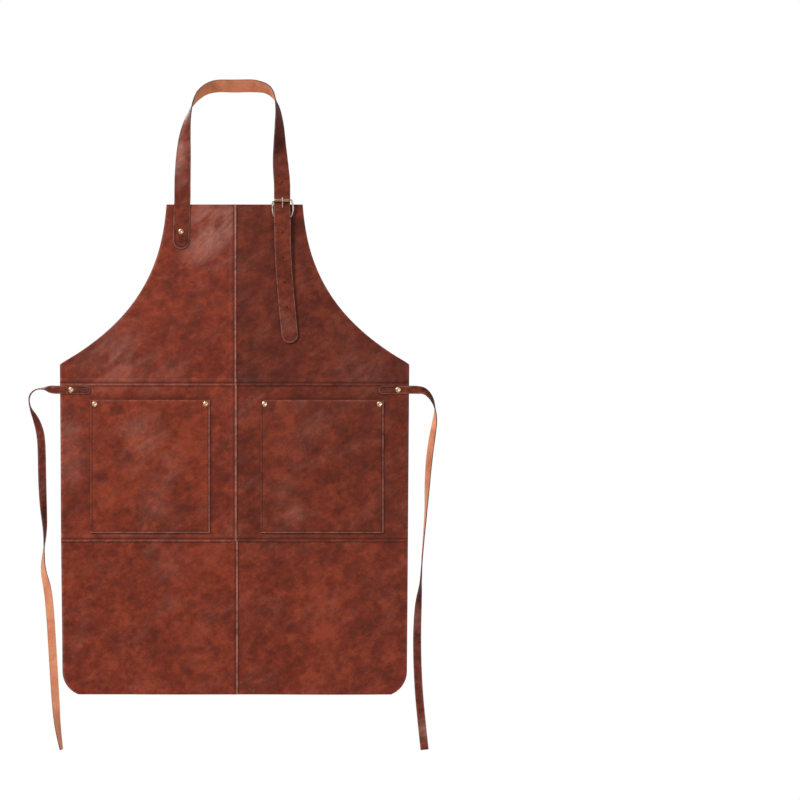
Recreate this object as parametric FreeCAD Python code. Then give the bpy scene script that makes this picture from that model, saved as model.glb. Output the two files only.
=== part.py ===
"""Leather work apron that hangs by its neck strap.

Six leather panels in three rows (bib, waist, skirt) are lapped and sewn, each left panel over
its right neighbour and each row over the row below. Two patch pockets stand on the waist row.
The neck strap is riveted and sewn at the left of the bib, loops over the neck, and runs through
a roller buckle that a folded chape holds at the right of the bib. A tie leaves each side of the
waist. Units are millimetres. +X is the viewer's right, -Y is the front (the grain side), +Z is
up, and the origin is on the neck strap at the top of its loop, where a hook carries the apron.
The back faces of the flat panels lie in the plane y = 0.
"""
import FreeCAD, Part
import math
import os

os.makedirs("parts", exist_ok=True)
V = FreeCAD.Vector

# --- driving dimensions -------------------------------------------------------------------
PANEL_T = 1.8            # leather of the panels
BIB_TOP_Z = -189.6       # top edge of the bib, below the top of the strap loop
BIB_HALF_TOP = 109.0     # half width of the bib's top edge
ARMHOLE_DROP = 255.0     # height of the curved armhole
WAIST_HALF = 279.5       # half width where the armhole meets the side
BIB_LENGTH = 289.6       # visible height of each row
WAIST_LENGTH = 249.5
SKIRT_LENGTH = 244.9
HEM_HALF = 275.5         # half width at the hem, before the corners are rounded
HEM_CORNER_R = 40.0      # the hem corner's arc leaves the side and is cut off by the hem
HEM_CORNER_DROP = 37.0
LAP = 8.0                # how far one panel lies over the next
JOGGLE = 3.0             # how far the raised lap strip runs back over its own panel
STITCH_IN = 4.0          # from a leather edge to its line of stitches
SEAM_X = {"bib": 2.9, "waist": 3.5, "skirt": 5.4}   # edge of the centre lap in each row

POCKETS = {              # centre, width
    "left": (-135.0, 191.0),
    "right": (140.0, 197.0),
}
POCKET_DROP = 23.0       # from the waist seam to the pocket's mouth
POCKET_HEIGHT = 213.0
POCKET_T = 1.6
POCKET_FLANGE = 13.0     # flat sewn margin round the pocket
POCKET_SLOPE = 24.0      # width of the slope from the margin to the belly
POCKET_DEPTH = 10.0      # inside depth at the middle of the mouth
POCKET_STITCH_IN = 2.6
POCKET_RIVET_IN = (6.6, 6.6)    # rivet centre from the pocket's side and from its mouth

STRAP_W = 26.0
STRAP_T = 2.0
STRAP_INSET = 23.4       # middle of the left strap end, in from the corner of the bib
STRAP_LAP = 71.2         # sewn length of the strap and of the chape on the bib
STRAP_RIVET_UP = 28.0    # rivet centre above that sewn end
FOLD_UP = 19.6           # above the bib the strap bends, as the apron swings
FOLD_Y = -4.0
BEND_CLEAR = 0.3         # gap between two lengths of strap that bend against each other
HOLE_PITCH = 40.0
SPARE_HOLE_R = 1.5
USED_HOLE_CLEAR = 1.1    # room round the prong in the hole that it goes through

TIE_W = 13.0
TIE_T = 1.8
TIE_TAB = 49.0           # sewn length of the tie on the panel
TIE_RIVET_IN = 17.5      # rivet centre from the panel's side
TIE_BEND_OUT = 3.0       # the tie bends this far outside the panel's side
TIE_CLEAR = 0.3          # below the waist lap's edge

CHAPE_NARROW = 3.0       # the chape is this much narrower than the strap
CHAPE_W = STRAP_W - CHAPE_NARROW
CHAPE_T = 1.6
CHAPE_INSET = 32.0       # middle of the chape, in from the corner of the bib
HEEL_DROP = 19.4         # axis of the buckle's heel bar, below the top of the bib
WIRE_R = 1.5             # buckle wire
FRAME_BEND = 2.6         # the frame's corners at the roller, on the wire's middle line
HEEL_BEND = 3.4          # and at the heel bar
HEEL_IN = 2.4            # the arms turn in this far towards the heel bar
ROLLER_IN = 0.9          # and this far towards the roller
FRAME_CLEAR = 2.9        # between the strap's edge and the middle of the frame's wire
EYE_CLEAR = 0.15         # heel bar in the chape's fold
REACH = 26.5             # from the heel bar to the roller bar
ROLLER_R = 3.0
ROLLER_SHORT = 1.4       # the roller is this much shorter than the strap is wide
ROLLER_CLEAR = 0.12
ROLLER_UP = 26.0         # height of the roller bar above the heel bar
ROLLER_GAP = 0.6         # between the roller and the strap behind it
TAIL_GAP = 0.6           # between the chape's fold and the strap's tail in front of it
PRONG_R = 1.0
PRONG_REST = 0.5         # the tongue's clearance over the roller
PRONG_EYE_T = 1.1        # wall of the prong's eye round the heel bar
PRONG_EYE_W = 3.0
PRONG_SLOT_W = 4.0       # slot for it in the chape

RIVET_CAP_R = 4.5
RIVET_CAP_H = 1.9
RIVET_DIMPLE_R = 1.9
RIVET_POST_R = 1.5
RIVET_BACK_R = 4.0
RIVET_BACK_H = 1.2

STRAP_STITCH_IN = 3.0    # from the edge of a strap end to its stitches
TIE_STITCH_IN = 2.2
THREAD_W = 0.8
THREAD_T = 0.5
THREAD_SHORT = 2.0       # a seam's stitches stop this far from the leather's edge

# --- worked out ---------------------------------------------------------------------------
WAIST_Z = BIB_TOP_Z - BIB_LENGTH
SKIRT_Z = WAIST_Z - WAIST_LENGTH
HEM_Z = SKIRT_Z - SKIRT_LENGTH
FRONT_Y = -PANEL_T               # front of a single panel
LAP_Y = -2 * PANEL_T             # front of a lap
NECK_Y = FRONT_Y - STRAP_T / 2   # middle of a strap that lies on the bib
BIG = 2000.0
CLEAR = 0.1                      # rivet post in its hole
ROWS = (
    ("bib", BIB_TOP_Z, WAIST_Z),
    ("waist", WAIST_Z, SKIRT_Z),
    ("skirt", SKIRT_Z, HEM_Z),
)


def side_x(z):
    """Half width of the apron at a height below the armhole."""
    corner_z = BIB_TOP_Z - ARMHOLE_DROP
    return WAIST_HALF + (HEM_HALF - WAIST_HALF) * (corner_z - z) / (corner_z - HEM_Z)


TIE_Z = WAIST_Z - TIE_CLEAR - TIE_W / 2
TIE_Y = FRONT_Y - TIE_T / 2
TIE_X = side_x(TIE_Z) + TIE_BEND_OUT
LEFT_X = STRAP_INSET - BIB_HALF_TOP
CHAPE_X = BIB_HALF_TOP - CHAPE_INSET
SEWN_END_Z = BIB_TOP_Z - STRAP_LAP
STRAP_RIVET_Z = SEWN_END_Z + STRAP_RIVET_UP
FOLD_Z = BIB_TOP_Z + FOLD_UP
HEEL_Z = BIB_TOP_Z - HEEL_DROP
EYE_R = WIRE_R + EYE_CLEAR
ROLLER_L = STRAP_W - ROLLER_SHORT
FOLD_R = EYE_R + CHAPE_T
HEEL = V(CHAPE_X, FRONT_Y - FOLD_R, HEEL_Z)
LEAN = math.acos(ROLLER_UP / REACH)              # the frame leans forward by this angle
ROLLER_Y = HEEL.y - REACH * math.sin(LEAN)
ROLLER_Z = HEEL_Z + ROLLER_UP
BEHIND_Y = ROLLER_Y + ROLLER_R + ROLLER_GAP + STRAP_T / 2   # middle of the strap at the roller
TAIL_Y = HEEL.y - FOLD_R - TAIL_GAP - STRAP_T / 2   # and in front of the chape's fold

# --- routes: control points of each strap's middle line, with the way the grain side faces ---
# The facing is in degrees about the strap's own direction: 0 is to the front, 90 or -90 edge-on.
NECK_LOOP = (
    ((LEFT_X + 2.4, FOLD_Y, FOLD_Z), 0), ((LEFT_X + 2.4, FOLD_Y, 0.88 * FOLD_Z), -6),
    ((LEFT_X + 3.8, FOLD_Y, 0.66 * FOLD_Z), -24), ((LEFT_X + 6.1, -3.5, 0.45 * FOLD_Z), -48),
    ((-72.5, -2.5, -40), -78), ((-57.5, -1, -12), -112), ((-34, 0, 0.8), -132),
    ((0, 0, -0.4), -136), ((33, 0, 0.8), -134), ((56, -1, -5), -116), ((68.5, -2.5, -27), -84),
    ((71.8, -3.5, -60), -62), ((CHAPE_X - 4.8, FOLD_Y, 0.56 * FOLD_Z), -44),
    ((CHAPE_X - 3.4, FOLD_Y, 0.75 * FOLD_Z), -20),
    ((CHAPE_X - 0.9, FOLD_Y, 0.91 * FOLD_Z), 0), ((CHAPE_X - 0.9, FOLD_Y, FOLD_Z), 0),
)
NECK_LEFT = (
    (LEFT_X, NECK_Y, SEWN_END_Z), (LEFT_X + 0.4, NECK_Y, STRAP_RIVET_Z),
    (LEFT_X + 1.6, NECK_Y, BIB_TOP_Z - 6.4), (LEFT_X + 2.4, FOLD_Y, BIB_TOP_Z + 9.6),
    (LEFT_X + 2.4, FOLD_Y, FOLD_Z),
)
NECK_RIGHT = (
    (CHAPE_X - 0.9, FOLD_Y, FOLD_Z), (CHAPE_X - 0.9, FOLD_Y, (FOLD_Z + ROLLER_Z) / 2),
    (CHAPE_X - 0.9, BEHIND_Y, ROLLER_Z + 0.4),
)
NECK_TAIL = (
    (CHAPE_X - 0.9, BEHIND_Y, ROLLER_Z - 0.4),
    (CHAPE_X - 0.9, (BEHIND_Y + TAIL_Y) / 2 + 0.2, ROLLER_Z - 7),
    (CHAPE_X - 0.7, TAIL_Y, HEEL_Z + 11), (CHAPE_X - 0.4, TAIL_Y, HEEL_Z),
    (CHAPE_X, TAIL_Y + 0.5, HEEL_Z - 19), (CHAPE_X + 0.2, -8.6, HEEL_Z - 49),
    (CHAPE_X + 2.4, -6.6, HEEL_Z - 91), (CHAPE_X + 6.5, -4.6, HEEL_Z - 141),
    (CHAPE_X + 12.5, -3.3, HEEL_Z - 202),
)
# A tie's points are (out from its bend, y, down from its sewn end).
TIE_LEFT = (
    ((0, TIE_Y, 0), 0), ((9, TIE_Y, 0), 12), ((21.8, -3.2, -2.6), 78), ((36.8, -3.2, -1), 90),
    ((47.3, -2, 10), 90), ((45.3, -1, 29), 80), ((35.3, 0, 47), 42), ((27.8, 1, 72), 8),
    ((26.4, 2, 104), -4), ((26, 3, 144), -14), ((24.2, 3, 186), -40), ((20.8, 2, 226), -72),
    ((23.4, 1, 258), -100), ((24.8, 0, 288), -130), ((16.8, 0, 318), -165),
    ((12.8, 0.5, 360), -178), ((9.8, 0, 408), -182), ((6.8, -1, 456), -190),
    ((3.8, -1, 504), -206),
    ((0.8, 0, 544), -236), ((-5.2, 0, 576), -256),
)
TIE_RIGHT = (
    ((0, TIE_Y, 0), 0), ((8, TIE_Y, 0), -8), ((21.8, -3, 1), -42), ((33.3, -2.4, 13), -66),
    ((39.3, -1, 31), -92), ((38.3, 0, 51), -122), ((33.3, 1, 80), -138), ((29, 2, 112), -138),
    ((26, 2, 152), -126), ((24.2, 1, 192), -104), ((20.8, 0, 232), -96), ((17.4, -1, 272), -92),
    ((15.8, -1, 310), -80), ((11.4, 0, 344), -38), ((9.6, 1, 392), -12), ((10.2, 2, 440), -8),
    ((12.8, 2, 488), -4), ((17.4, 1, 536), 0), ((21.8, 0, 576), 6),
)


# --- helpers --------------------------------------------------------------------------------
def save(name, shape):
    """Writes one node. A node may hold several separate solids."""
    for solid in shape.Solids:
        if not solid.isValid() or solid.Volume <= 0:
            raise ValueError(f"{name} has a bad solid")
    shape.exportStep(f"parts/{name}.step")


def fuse(shapes):
    """One solid from pieces that share faces or overlap."""
    whole = shapes[0].fuse(list(shapes[1:])) if len(shapes) > 1 else shapes[0]
    return whole.removeSplitter()


def box(x0, x1, y0, y1, z0, z1):
    return Part.makeBox(x1 - x0, y1 - y0, z1 - z0, V(x0, y0, z0))


def across(x, z, radius, y0, y1):
    """A cylinder along Y."""
    return Part.makeCylinder(radius, y1 - y0, V(x, y0, z), V(0, 1, 0))


def stations(points, step):
    """Samples a route of straight runs joined by tangent arcs.

    Each arc's radius is 0.45 of the shorter run over the tangent of half the turn. Returns
    (place, direction, control) triples, where control is the place along the list of points.
    """
    points = [V(*p) for p in points]
    found, radii = [], []
    last = len(points) - 1
    start = points[0]
    for i in range(1, last + 1):
        run = points[i] - points[i - 1]
        along = V(run).normalize()
        if i == last:
            end, trim, turn = points[i], 0.0, 0.0
        else:
            ahead = points[i + 1] - points[i]
            turn = run.getAngle(ahead)
            trim = 0.45 * min(run.Length, ahead.Length) if turn > 1e-4 else 0.0
            end = points[i] - along * trim
        pieces = max(1, math.ceil((end - start).Length / step))
        for k in range(0 if i == 1 else 1, pieces + 1):
            place = start + (end - start) * (k / pieces)
            share = (place - points[i - 1]).Length / run.Length
            found.append((place, along, i - 1 + share))
        if turn > 1e-4:
            onward = V(ahead).normalize()
            inward = (onward - along * along.dot(onward)).normalize()
            radius = trim / math.tan(turn / 2)
            radii.append(radius)
            centre = end + inward * radius
            slices = max(2, math.ceil(math.degrees(turn) / 9))
            share = trim / run.Length
            share_on = trim / ahead.Length
            for k in range(1, slices + 1):
                a = turn * k / slices
                place = centre - inward * (radius * math.cos(a)) + along * (radius * math.sin(a))
                heading = along * math.cos(a) + inward * math.sin(a)
                control = i - share + (share + share_on) * k / slices
                found.append((place, heading, control))
            start = points[i] + onward * trim
        else:
            start = points[i]
    return found, radii


def facing_at(facings, control):
    low = min(int(control), len(facings) - 2)
    return facings[low] + (facings[low + 1] - facings[low]) * (control - low)


def ribbon(points, width, thickness, facings=None, step=14.0):
    """A flat strap, tie or line of thread along a route, turned by its facings."""
    facings = facings or [0.0] * len(points)
    sections, middle = [], []
    found, radii = stations(points, step)
    for place, along, control in found:
        front = V(0, -1, 0) - along * along.dot(V(0, -1, 0))
        turn = FreeCAD.Rotation(along, facing_at(facings, control))
        normal = turn.multVec(front.normalize())
        side = normal.cross(along) * (width / 2)
        half = normal * (thickness / 2)
        corners = [place - side - half, place + side - half, place + side + half,
                   place - side + half]
        sections.append(Part.makePolygon(corners + corners[:1]))
        middle.append(place)
    solid = Part.makeLoft(sections, True, True)
    if solid.Volume < 0:
        solid.reverse()
    length = sum((b - a).Length for a, b in zip(middle, middle[1:]))
    return solid, length, radii


def round_end(solid, x, z, width):
    """Rounds the lower end of a strap that faces the front: a half disc centred at x, z."""
    waste = box(x - width, x + width, -BIG, BIG, z - BIG, z)
    return solid.cut(waste.cut(across(x, z, width / 2, -BIG, BIG)))


# --- panels ---------------------------------------------------------------------------------
def outline():
    """The whole apron's outline in the plane y = 0."""
    corner_z = BIB_TOP_Z - ARMHOLE_DROP
    drop, r = HEM_CORNER_DROP, HEM_CORNER_R
    turn = math.asin(drop / r)
    inset = r * (1 - math.cos(turn))
    mid_in, mid_down = r * (1 - math.cos(turn / 2)), r * math.sin(turn / 2)
    arc_top = V(side_x(HEM_Z + drop), 0, HEM_Z + drop)

    def half(sign):
        top = V(sign * BIB_HALF_TOP, 0, BIB_TOP_Z)
        corner = V(sign * WAIST_HALF, 0, corner_z)
        bow = [top,
               V(sign * (BIB_HALF_TOP + 0.035 * (WAIST_HALF - BIB_HALF_TOP)), 0,
                 BIB_TOP_Z - 0.294 * ARMHOLE_DROP),
               V(sign * (BIB_HALF_TOP + 0.154 * (WAIST_HALF - BIB_HALF_TOP)), 0,
                 BIB_TOP_Z - 0.686 * ARMHOLE_DROP),
               corner]
        armhole = Part.BezierCurve()
        armhole.setPoles(bow)
        a = V(sign * arc_top.x, 0, arc_top.z)
        b = V(sign * (arc_top.x - mid_in), 0, arc_top.z - mid_down)
        c = V(sign * (arc_top.x - inset), 0, HEM_Z)
        return top, c, [armhole.toShape(), Part.makeLine(corner, a), Part.Arc(a, b, c).toShape()]

    top_l, hem_l, left = half(-1)
    top_r, hem_r, right = half(1)
    edges = [Part.makeLine(top_l, top_r)] + right + [Part.makeLine(hem_r, hem_l)] + left
    return Part.Face(Part.Wire(Part.__sortEdges__(edges)))


def panel_levels():
    """The outline as a solid at the back level and at the level of the laps."""
    face = outline()
    back = face.extrude(V(0, -PANEL_T, 0))
    front = back.translated(V(0, -PANEL_T, 0))
    return back, front


def panels():
    """The six panels by name: a back-level plate and the raised strips that lap over."""
    back, front = panel_levels()
    made = {}
    for row, top, bottom in ROWS:
        seam = SEAM_X[row]
        plate_top = top if row == "bib" else top + LAP
        plate_bottom = bottom if row == "skirt" else bottom + LAP
        spans = {"left": (-BIG, seam - LAP), "right": (seam - LAP, BIG)}
        for side, (x0, x1) in spans.items():
            pieces = [back.common(box(x0, x1, -BIG, BIG, plate_bottom, plate_top))]
            if side == "left":
                pieces.append(front.common(
                    box(seam - LAP - JOGGLE, seam, -BIG, BIG, bottom, top)))
            if row != "skirt":
                strip = (-BIG, seam) if side == "left" else (seam, BIG)
                pieces.append(front.common(
                    box(strip[0], strip[1], -BIG, BIG, bottom, bottom + LAP + JOGGLE)))
            made[f"{row}_panel_{side}"] = fuse(pieces)
    return made


# --- pockets --------------------------------------------------------------------------------
def wedge(centre, width, mouth_z, bottom_z, depth, slope, base_y):
    """A closed wedge on the panel: deepest at the middle of the mouth, nothing at the bottom."""
    x0, x1 = centre - width / 2, centre + width / 2
    a, b = V(x0, base_y, mouth_z), V(x1, base_y, mouth_z)
    c, d = V(x1, base_y, bottom_z), V(x0, base_y, bottom_z)
    p, q = V(x0 + slope, base_y - depth, mouth_z), V(x1 - slope, base_y - depth, mouth_z)
    rings = ((a, b, c, d), (a, p, q, b), (d, c, q, p), (a, d, p), (b, q, c))
    faces = [Part.Face(Part.makePolygon(list(r) + [r[0]])) for r in rings]
    solid = Part.Solid(Part.Shell(faces))
    if solid.Volume < 0:
        solid.reverse()
    return solid


def pocket(side):
    """A patch pocket: a flat sewn margin on three sides and a belly that opens upwards."""
    centre, width = POCKETS[side]
    mouth = WAIST_Z - POCKET_DROP
    bottom = mouth - POCKET_HEIGHT
    inner_w = width - 2 * POCKET_FLANGE
    inner_bottom = bottom + POCKET_FLANGE
    plate = box(centre - width / 2, centre + width / 2, FRONT_Y - POCKET_T, FRONT_Y, bottom, mouth)
    belly = wedge(centre, inner_w + 2 * POCKET_T, mouth, inner_bottom - POCKET_T,
                  POCKET_DEPTH + POCKET_T, POCKET_SLOPE, FRONT_Y)
    hollow = wedge(centre, inner_w, mouth, inner_bottom, POCKET_DEPTH, POCKET_SLOPE, FRONT_Y)
    return plate.fuse(belly).cut(hollow).removeSplitter()


def pocket_rivets(side):
    centre, width = POCKETS[side]
    mouth = WAIST_Z - POCKET_DROP
    reach = width / 2 - POCKET_RIVET_IN[0]
    return [(centre + s * reach, mouth - POCKET_RIVET_IN[1]) for s in (-1, 1)]


# --- rivets ---------------------------------------------------------------------------------
def rivet(x, z, front_y):
    """A double-cap rivet: a domed front cap with a ringed centre on a post, and a back cap."""
    h, r = RIVET_CAP_H, RIVET_CAP_R
    skirt = 0.35 * h
    dome = [V(0, 0, 0), V(r, 0, 0), V(r, 0, skirt)]
    rim = V(RIVET_DIMPLE_R, 0, h)
    arc = Part.Arc(dome[2], V(0.76 * r, 0, 0.86 * h), rim).toShape()
    floor = V(0.55 * RIVET_DIMPLE_R, 0, 0.74 * h)
    pip = V(0, 0, 0.86 * h)
    edges = [Part.makeLine(dome[0], dome[1]), Part.makeLine(dome[1], dome[2]), arc,
             Part.makeLine(rim, floor), Part.makeLine(floor, pip), Part.makeLine(pip, dome[0])]
    cap = Part.Face(Part.Wire(edges)).revolve(V(0, 0, 0), V(0, 0, 1), 360)
    cap.rotate(V(0, 0, 0), V(1, 0, 0), 90)
    cap.translate(V(x, front_y, z))
    post = across(x, z, RIVET_POST_R, front_y - 0.2, 0)
    button = across(x, z, RIVET_BACK_R, 0, RIVET_BACK_H)
    rim_edge = [e for e in button.Edges if e.BoundBox.YMin > RIVET_BACK_H / 2
                and e.Curve.TypeId == "Part::GeomCircle"]
    button = button.makeFillet(0.6 * RIVET_BACK_H, rim_edge)
    return fuse([cap, post]), button


def punched(shape, places):
    """Cuts a rivet's post hole at each place."""
    for x, z in places:
        shape = shape.cut(across(x, z, RIVET_POST_R + CLEAR, -BIG, BIG))
    return shape


# --- buckle ---------------------------------------------------------------------------------
def at_buckle(u, v, n):
    """Buckle coordinates to the apron's: u to the right, v from heel to roller, n forwards."""
    return HEEL + V(u, -v * math.sin(LEAN) - n * math.cos(LEAN),
                    v * math.cos(LEAN) - n * math.sin(LEAN))


def round_bar(points, radius, bends=None):
    """A round bar along a route of runs and tangent arcs, or round a closed one.

    A corner's arc is as large as its runs allow, or has the radius that bends gives for it.
    """
    closed = (points[0] - points[-1]).Length < 1e-6
    ring = points[:-1] if closed else points
    count = len(ring)
    corners = []
    for i in range(count):
        if not closed and i in (0, count - 1):
            corners.append((ring[i], ring[i], ring[i]))
            continue
        before, here, after = ring[i - 1], ring[i], ring[(i + 1) % count]
        one, two = before - here, after - here
        half = one.getAngle(two) / 2
        trim = 0.45 * min(one.Length, two.Length)
        if bends and bends[i]:
            trim = min(trim, bends[i] / math.tan(half))
        a, c = here + V(one).normalize() * trim, here + V(two).normalize() * trim
        bisector = (V(one).normalize() + V(two).normalize()).normalize()
        arc_r = trim * math.tan(half)
        centre = here + bisector * (trim / math.cos(half))
        corners.append((a, centre - bisector * arc_r, c))
    edges = []
    for i, (a, b, c) in enumerate(corners):
        if (a - c).Length > 1e-6:
            edges.append(Part.Arc(a, b, c).toShape())
        if closed or i < count - 1:
            edges.append(Part.makeLine(c, corners[(i + 1) % count][0]))
    if closed:
        edges = edges[-1:] + edges[:-1]
    start = edges[0]
    place = start.valueAt(start.FirstParameter)
    along = start.tangentAt(start.FirstParameter)
    section = Part.Wire(Part.makeCircle(radius, place, along))
    return Part.Wire(edges).makePipeShell([section], True, False)


def buckle_frame():
    """The wire frame: a straight heel bar, two bowed arms and the bar that carries the roller."""
    half = STRAP_W / 2 + FRAME_CLEAR
    arm = ((half - HEEL_IN, 0.0, HEEL_BEND), (half + 0.7, 0.34 * REACH, None),
           (half + 0.4, 0.7 * REACH, None), (half - ROLLER_IN, REACH, FRAME_BEND))
    loop = [(u, v, bend) for u, v, bend in arm] + [(-u, v, bend) for u, v, bend in arm[::-1]]
    points = [at_buckle(u, v, 0) for u, v, _ in loop + loop[:1]]
    return round_bar(points, WIRE_R, [bend for _, _, bend in loop])


def roller():
    """A brass sleeve that turns on the frame's front bar."""
    bore = WIRE_R + ROLLER_CLEAR
    start = at_buckle(-ROLLER_L / 2, REACH, 0)
    sleeve = Part.makeCylinder(ROLLER_R, ROLLER_L, start, V(1, 0, 0))
    sleeve = sleeve.makeFillet(0.5, [e for e in sleeve.Edges
                                     if e.Curve.TypeId == "Part::GeomCircle"])
    return sleeve.cut(Part.makeCylinder(bore, ROLLER_L, start, V(1, 0, 0)))


def prong_route():
    """Middle line of the prong's tongue: behind the strap, through its hole, on the roller."""
    rest = ROLLER_R + PRONG_R + PRONG_REST
    route = ((2.0, 1.2), (0.43 * REACH, 0.2), (0.83 * REACH, 0.8 * rest), (REACH, rest),
             (REACH + 4.0, 0.76 * rest))
    return [at_buckle(0, v, n) for v, n in route]


def prong():
    """The prong: an eye round the heel bar and a bent tongue that rests on the roller."""
    bore = WIRE_R + ROLLER_CLEAR
    start = at_buckle(-PRONG_EYE_W / 2, 0, 0)
    route = prong_route()
    eye = Part.makeCylinder(bore + PRONG_EYE_T, PRONG_EYE_W, start, V(1, 0, 0))
    solid = fuse([eye, round_bar(route, PRONG_R), Part.makeSphere(PRONG_R, route[-1])])
    return solid.cut(Part.makeCylinder(bore, PRONG_EYE_W, start, V(1, 0, 0)))


def chape():
    """The chape: a strip folded round the heel bar, sewn down as two layers, with a slot."""
    front = FRONT_Y - 2 * CHAPE_T
    x0 = CHAPE_X - CHAPE_W / 2
    fold = Part.makeCylinder(FOLD_R, CHAPE_W, V(x0, HEEL.y, HEEL_Z), V(1, 0, 0))
    neck_z = HEEL_Z - 2.2 * FOLD_R
    layers = box(x0, x0 + CHAPE_W, front, FRONT_Y, SEWN_END_Z, neck_z)
    lean = math.asin((HEEL.y - FOLD_R - front) / (neck_z - HEEL_Z))
    side = [V(x0, FRONT_Y, HEEL_Z), V(x0, FRONT_Y, neck_z), V(x0, front, neck_z),
            V(x0, HEEL.y - FOLD_R * math.cos(lean), HEEL_Z - FOLD_R * math.sin(lean)),
            V(x0, HEEL.y, HEEL_Z)]
    taper = Part.Face(Part.makePolygon(side + side[:1])).extrude(V(CHAPE_W, 0, 0))
    whole = fuse([fold, layers, taper])
    whole = whole.cut(Part.makeCylinder(EYE_R, CHAPE_W, V(x0, HEEL.y, HEEL_Z), V(1, 0, 0)))
    slot = box(CHAPE_X - PRONG_SLOT_W / 2, CHAPE_X + PRONG_SLOT_W / 2, -BIG, BIG,
               HEEL_Z - 1.35 * FOLD_R, HEEL_Z + FOLD_R + 1)
    return round_end(whole.cut(slot), CHAPE_X, SEWN_END_Z + CHAPE_W / 2, CHAPE_W)


# --- straps and ties ------------------------------------------------------------------------
def report(name, solid, width, thickness, length, radii):
    ratio = solid.Volume / (width * thickness * length)
    tight = min(radii) if radii else 0.0
    print(f"{name}: {length:.0f} mm long, volume over section x length {ratio:.3f}, "
          f"radii {' '.join(f'{r:.0f}' for r in radii)}, least {tight:.1f}")


def points_of(route):
    return [p for p, _ in route]


def facings_of(route):
    return [f for _, f in route]


def trimmed(points, gap, at_start=False, at_end=False):
    """A route that stops short of a bend, so that the two lengths can turn on each other."""
    places = [V(*p) for p in points]
    if at_start:
        places[0] = places[0] + (places[1] - places[0]).normalize() * gap
    if at_end:
        places[-1] = places[-1] + (places[-2] - places[-1]).normalize() * gap
    return [(p.x, p.y, p.z) for p in places]


def knuckle(x, y, z, width, thickness, along):
    """The round edge of a strap at a bend."""
    start = V(x, y, z) - V(along) * (width / 2)
    return Part.makeCylinder(thickness / 2, width, start, along)


def neck_strap():
    """The strap as four lengths that bend on one another, each a node of its own."""
    gap = STRAP_T / 2 + BEND_CLEAR
    loop, long, radii = ribbon(points_of(NECK_LOOP), STRAP_W, STRAP_T, facings_of(NECK_LOOP))
    report("neck strap loop", loop, STRAP_W, STRAP_T, long, radii)
    ends = [knuckle(x, FOLD_Y, z, STRAP_W, STRAP_T, V(1, 0, 0))
            for (x, _, z) in (NECK_LOOP[0][0], NECK_LOOP[-1][0])]
    loop = fuse([loop] + ends)
    spare = NECK_LOOP[-2][0]
    loop = loop.cut(across(spare[0], spare[2], SPARE_HOLE_R, -BIG, 0.0))

    left, long, radii = ribbon(trimmed(NECK_LEFT, gap, at_end=True), STRAP_W, STRAP_T)
    report("neck strap left end", left, STRAP_W, STRAP_T, long, radii)
    left = round_end(left, LEFT_X, SEWN_END_Z + STRAP_W / 2, STRAP_W)
    left = punched(left, [(LEFT_X, STRAP_RIVET_Z)])

    right, long, radii = ribbon(trimmed(NECK_RIGHT, gap, at_start=True), STRAP_W, STRAP_T)
    report("neck strap to roller", right, STRAP_W, STRAP_T, long, radii)

    tail, long, radii = ribbon(NECK_TAIL, STRAP_W, STRAP_T, step=6.0)
    report("neck strap tail", tail, STRAP_W, STRAP_T, long, radii)
    end_x, _, end_z = NECK_TAIL[-1]
    tail = round_end(tail, end_x - 1.0, end_z + STRAP_W / 2, STRAP_W)
    rear, front = prong_route()[1:3]
    bore = PRONG_R + USED_HOLE_CLEAR
    tail = tail.cut(Part.makeCylinder(bore, (front - rear).Length, rear, front - rear))
    for x, z in spare_holes():
        tail = tail.cut(across(x, z, SPARE_HOLE_R, -BIG, 0.0))
    return {"neck_strap_loop": loop, "neck_strap_left_end": left,
            "neck_strap_to_roller": right, "neck_strap_tail": tail}


def used_hole_z():
    """Height at which the prong's tongue crosses the middle of the strap."""
    rear, front = prong_route()[1:3]
    (_, ya, za), (_, yb, zb) = NECK_TAIL[1:3]
    strap = (yb - ya) / (zb - za)
    tongue = (front.y - rear.y) / (front.z - rear.z)
    return (ya - strap * za - rear.y + tongue * rear.z) / (tongue - strap)


def spare_holes():
    """Spare holes down the strap's tail, one pitch apart, below the hole in use."""
    holes = []
    for k in range(1, 5):
        z = used_hole_z() - k * HOLE_PITCH
        for (xa, _, za), (xb, _, zb) in zip(NECK_TAIL, NECK_TAIL[1:]):
            if zb <= z <= za:
                holes.append((xa + (xb - xa) * (za - z) / (za - zb), z))
    return holes


def tie(side):
    """A tie: the free length outside the panel and the sewn tab on it."""
    sign = -1 if side == "left" else 1
    route = TIE_LEFT if side == "left" else TIE_RIGHT
    points = [(sign * (TIE_X + out), y, TIE_Z - down) for (out, y, down), _ in route]
    free, long, radii = ribbon(points, TIE_W, TIE_T, facings_of(route), step=10.0)
    report(f"tie {side}", free, TIE_W, TIE_T, long, radii)
    free = fuse([free, knuckle(sign * TIE_X, TIE_Y, TIE_Z, TIE_W, TIE_T, V(0, 0, 1))])
    inner = side_x(TIE_Z) - TIE_TAB
    outer = TIE_X - TIE_T / 2 - BEND_CLEAR
    centre = inner + TIE_W / 2
    x0, x1 = sorted((sign * centre, sign * outer))
    tab = box(x0, x1, FRONT_Y - TIE_T, FRONT_Y, TIE_Z - TIE_W / 2, TIE_Z + TIE_W / 2)
    tab = fuse([tab, across(sign * centre, TIE_Z, TIE_W / 2, FRONT_Y - TIE_T, FRONT_Y)])
    return free, tab


def tie_rivet(side):
    sign = -1 if side == "left" else 1
    return sign * (side_x(TIE_Z) - TIE_RIVET_IN), TIE_Z


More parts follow.
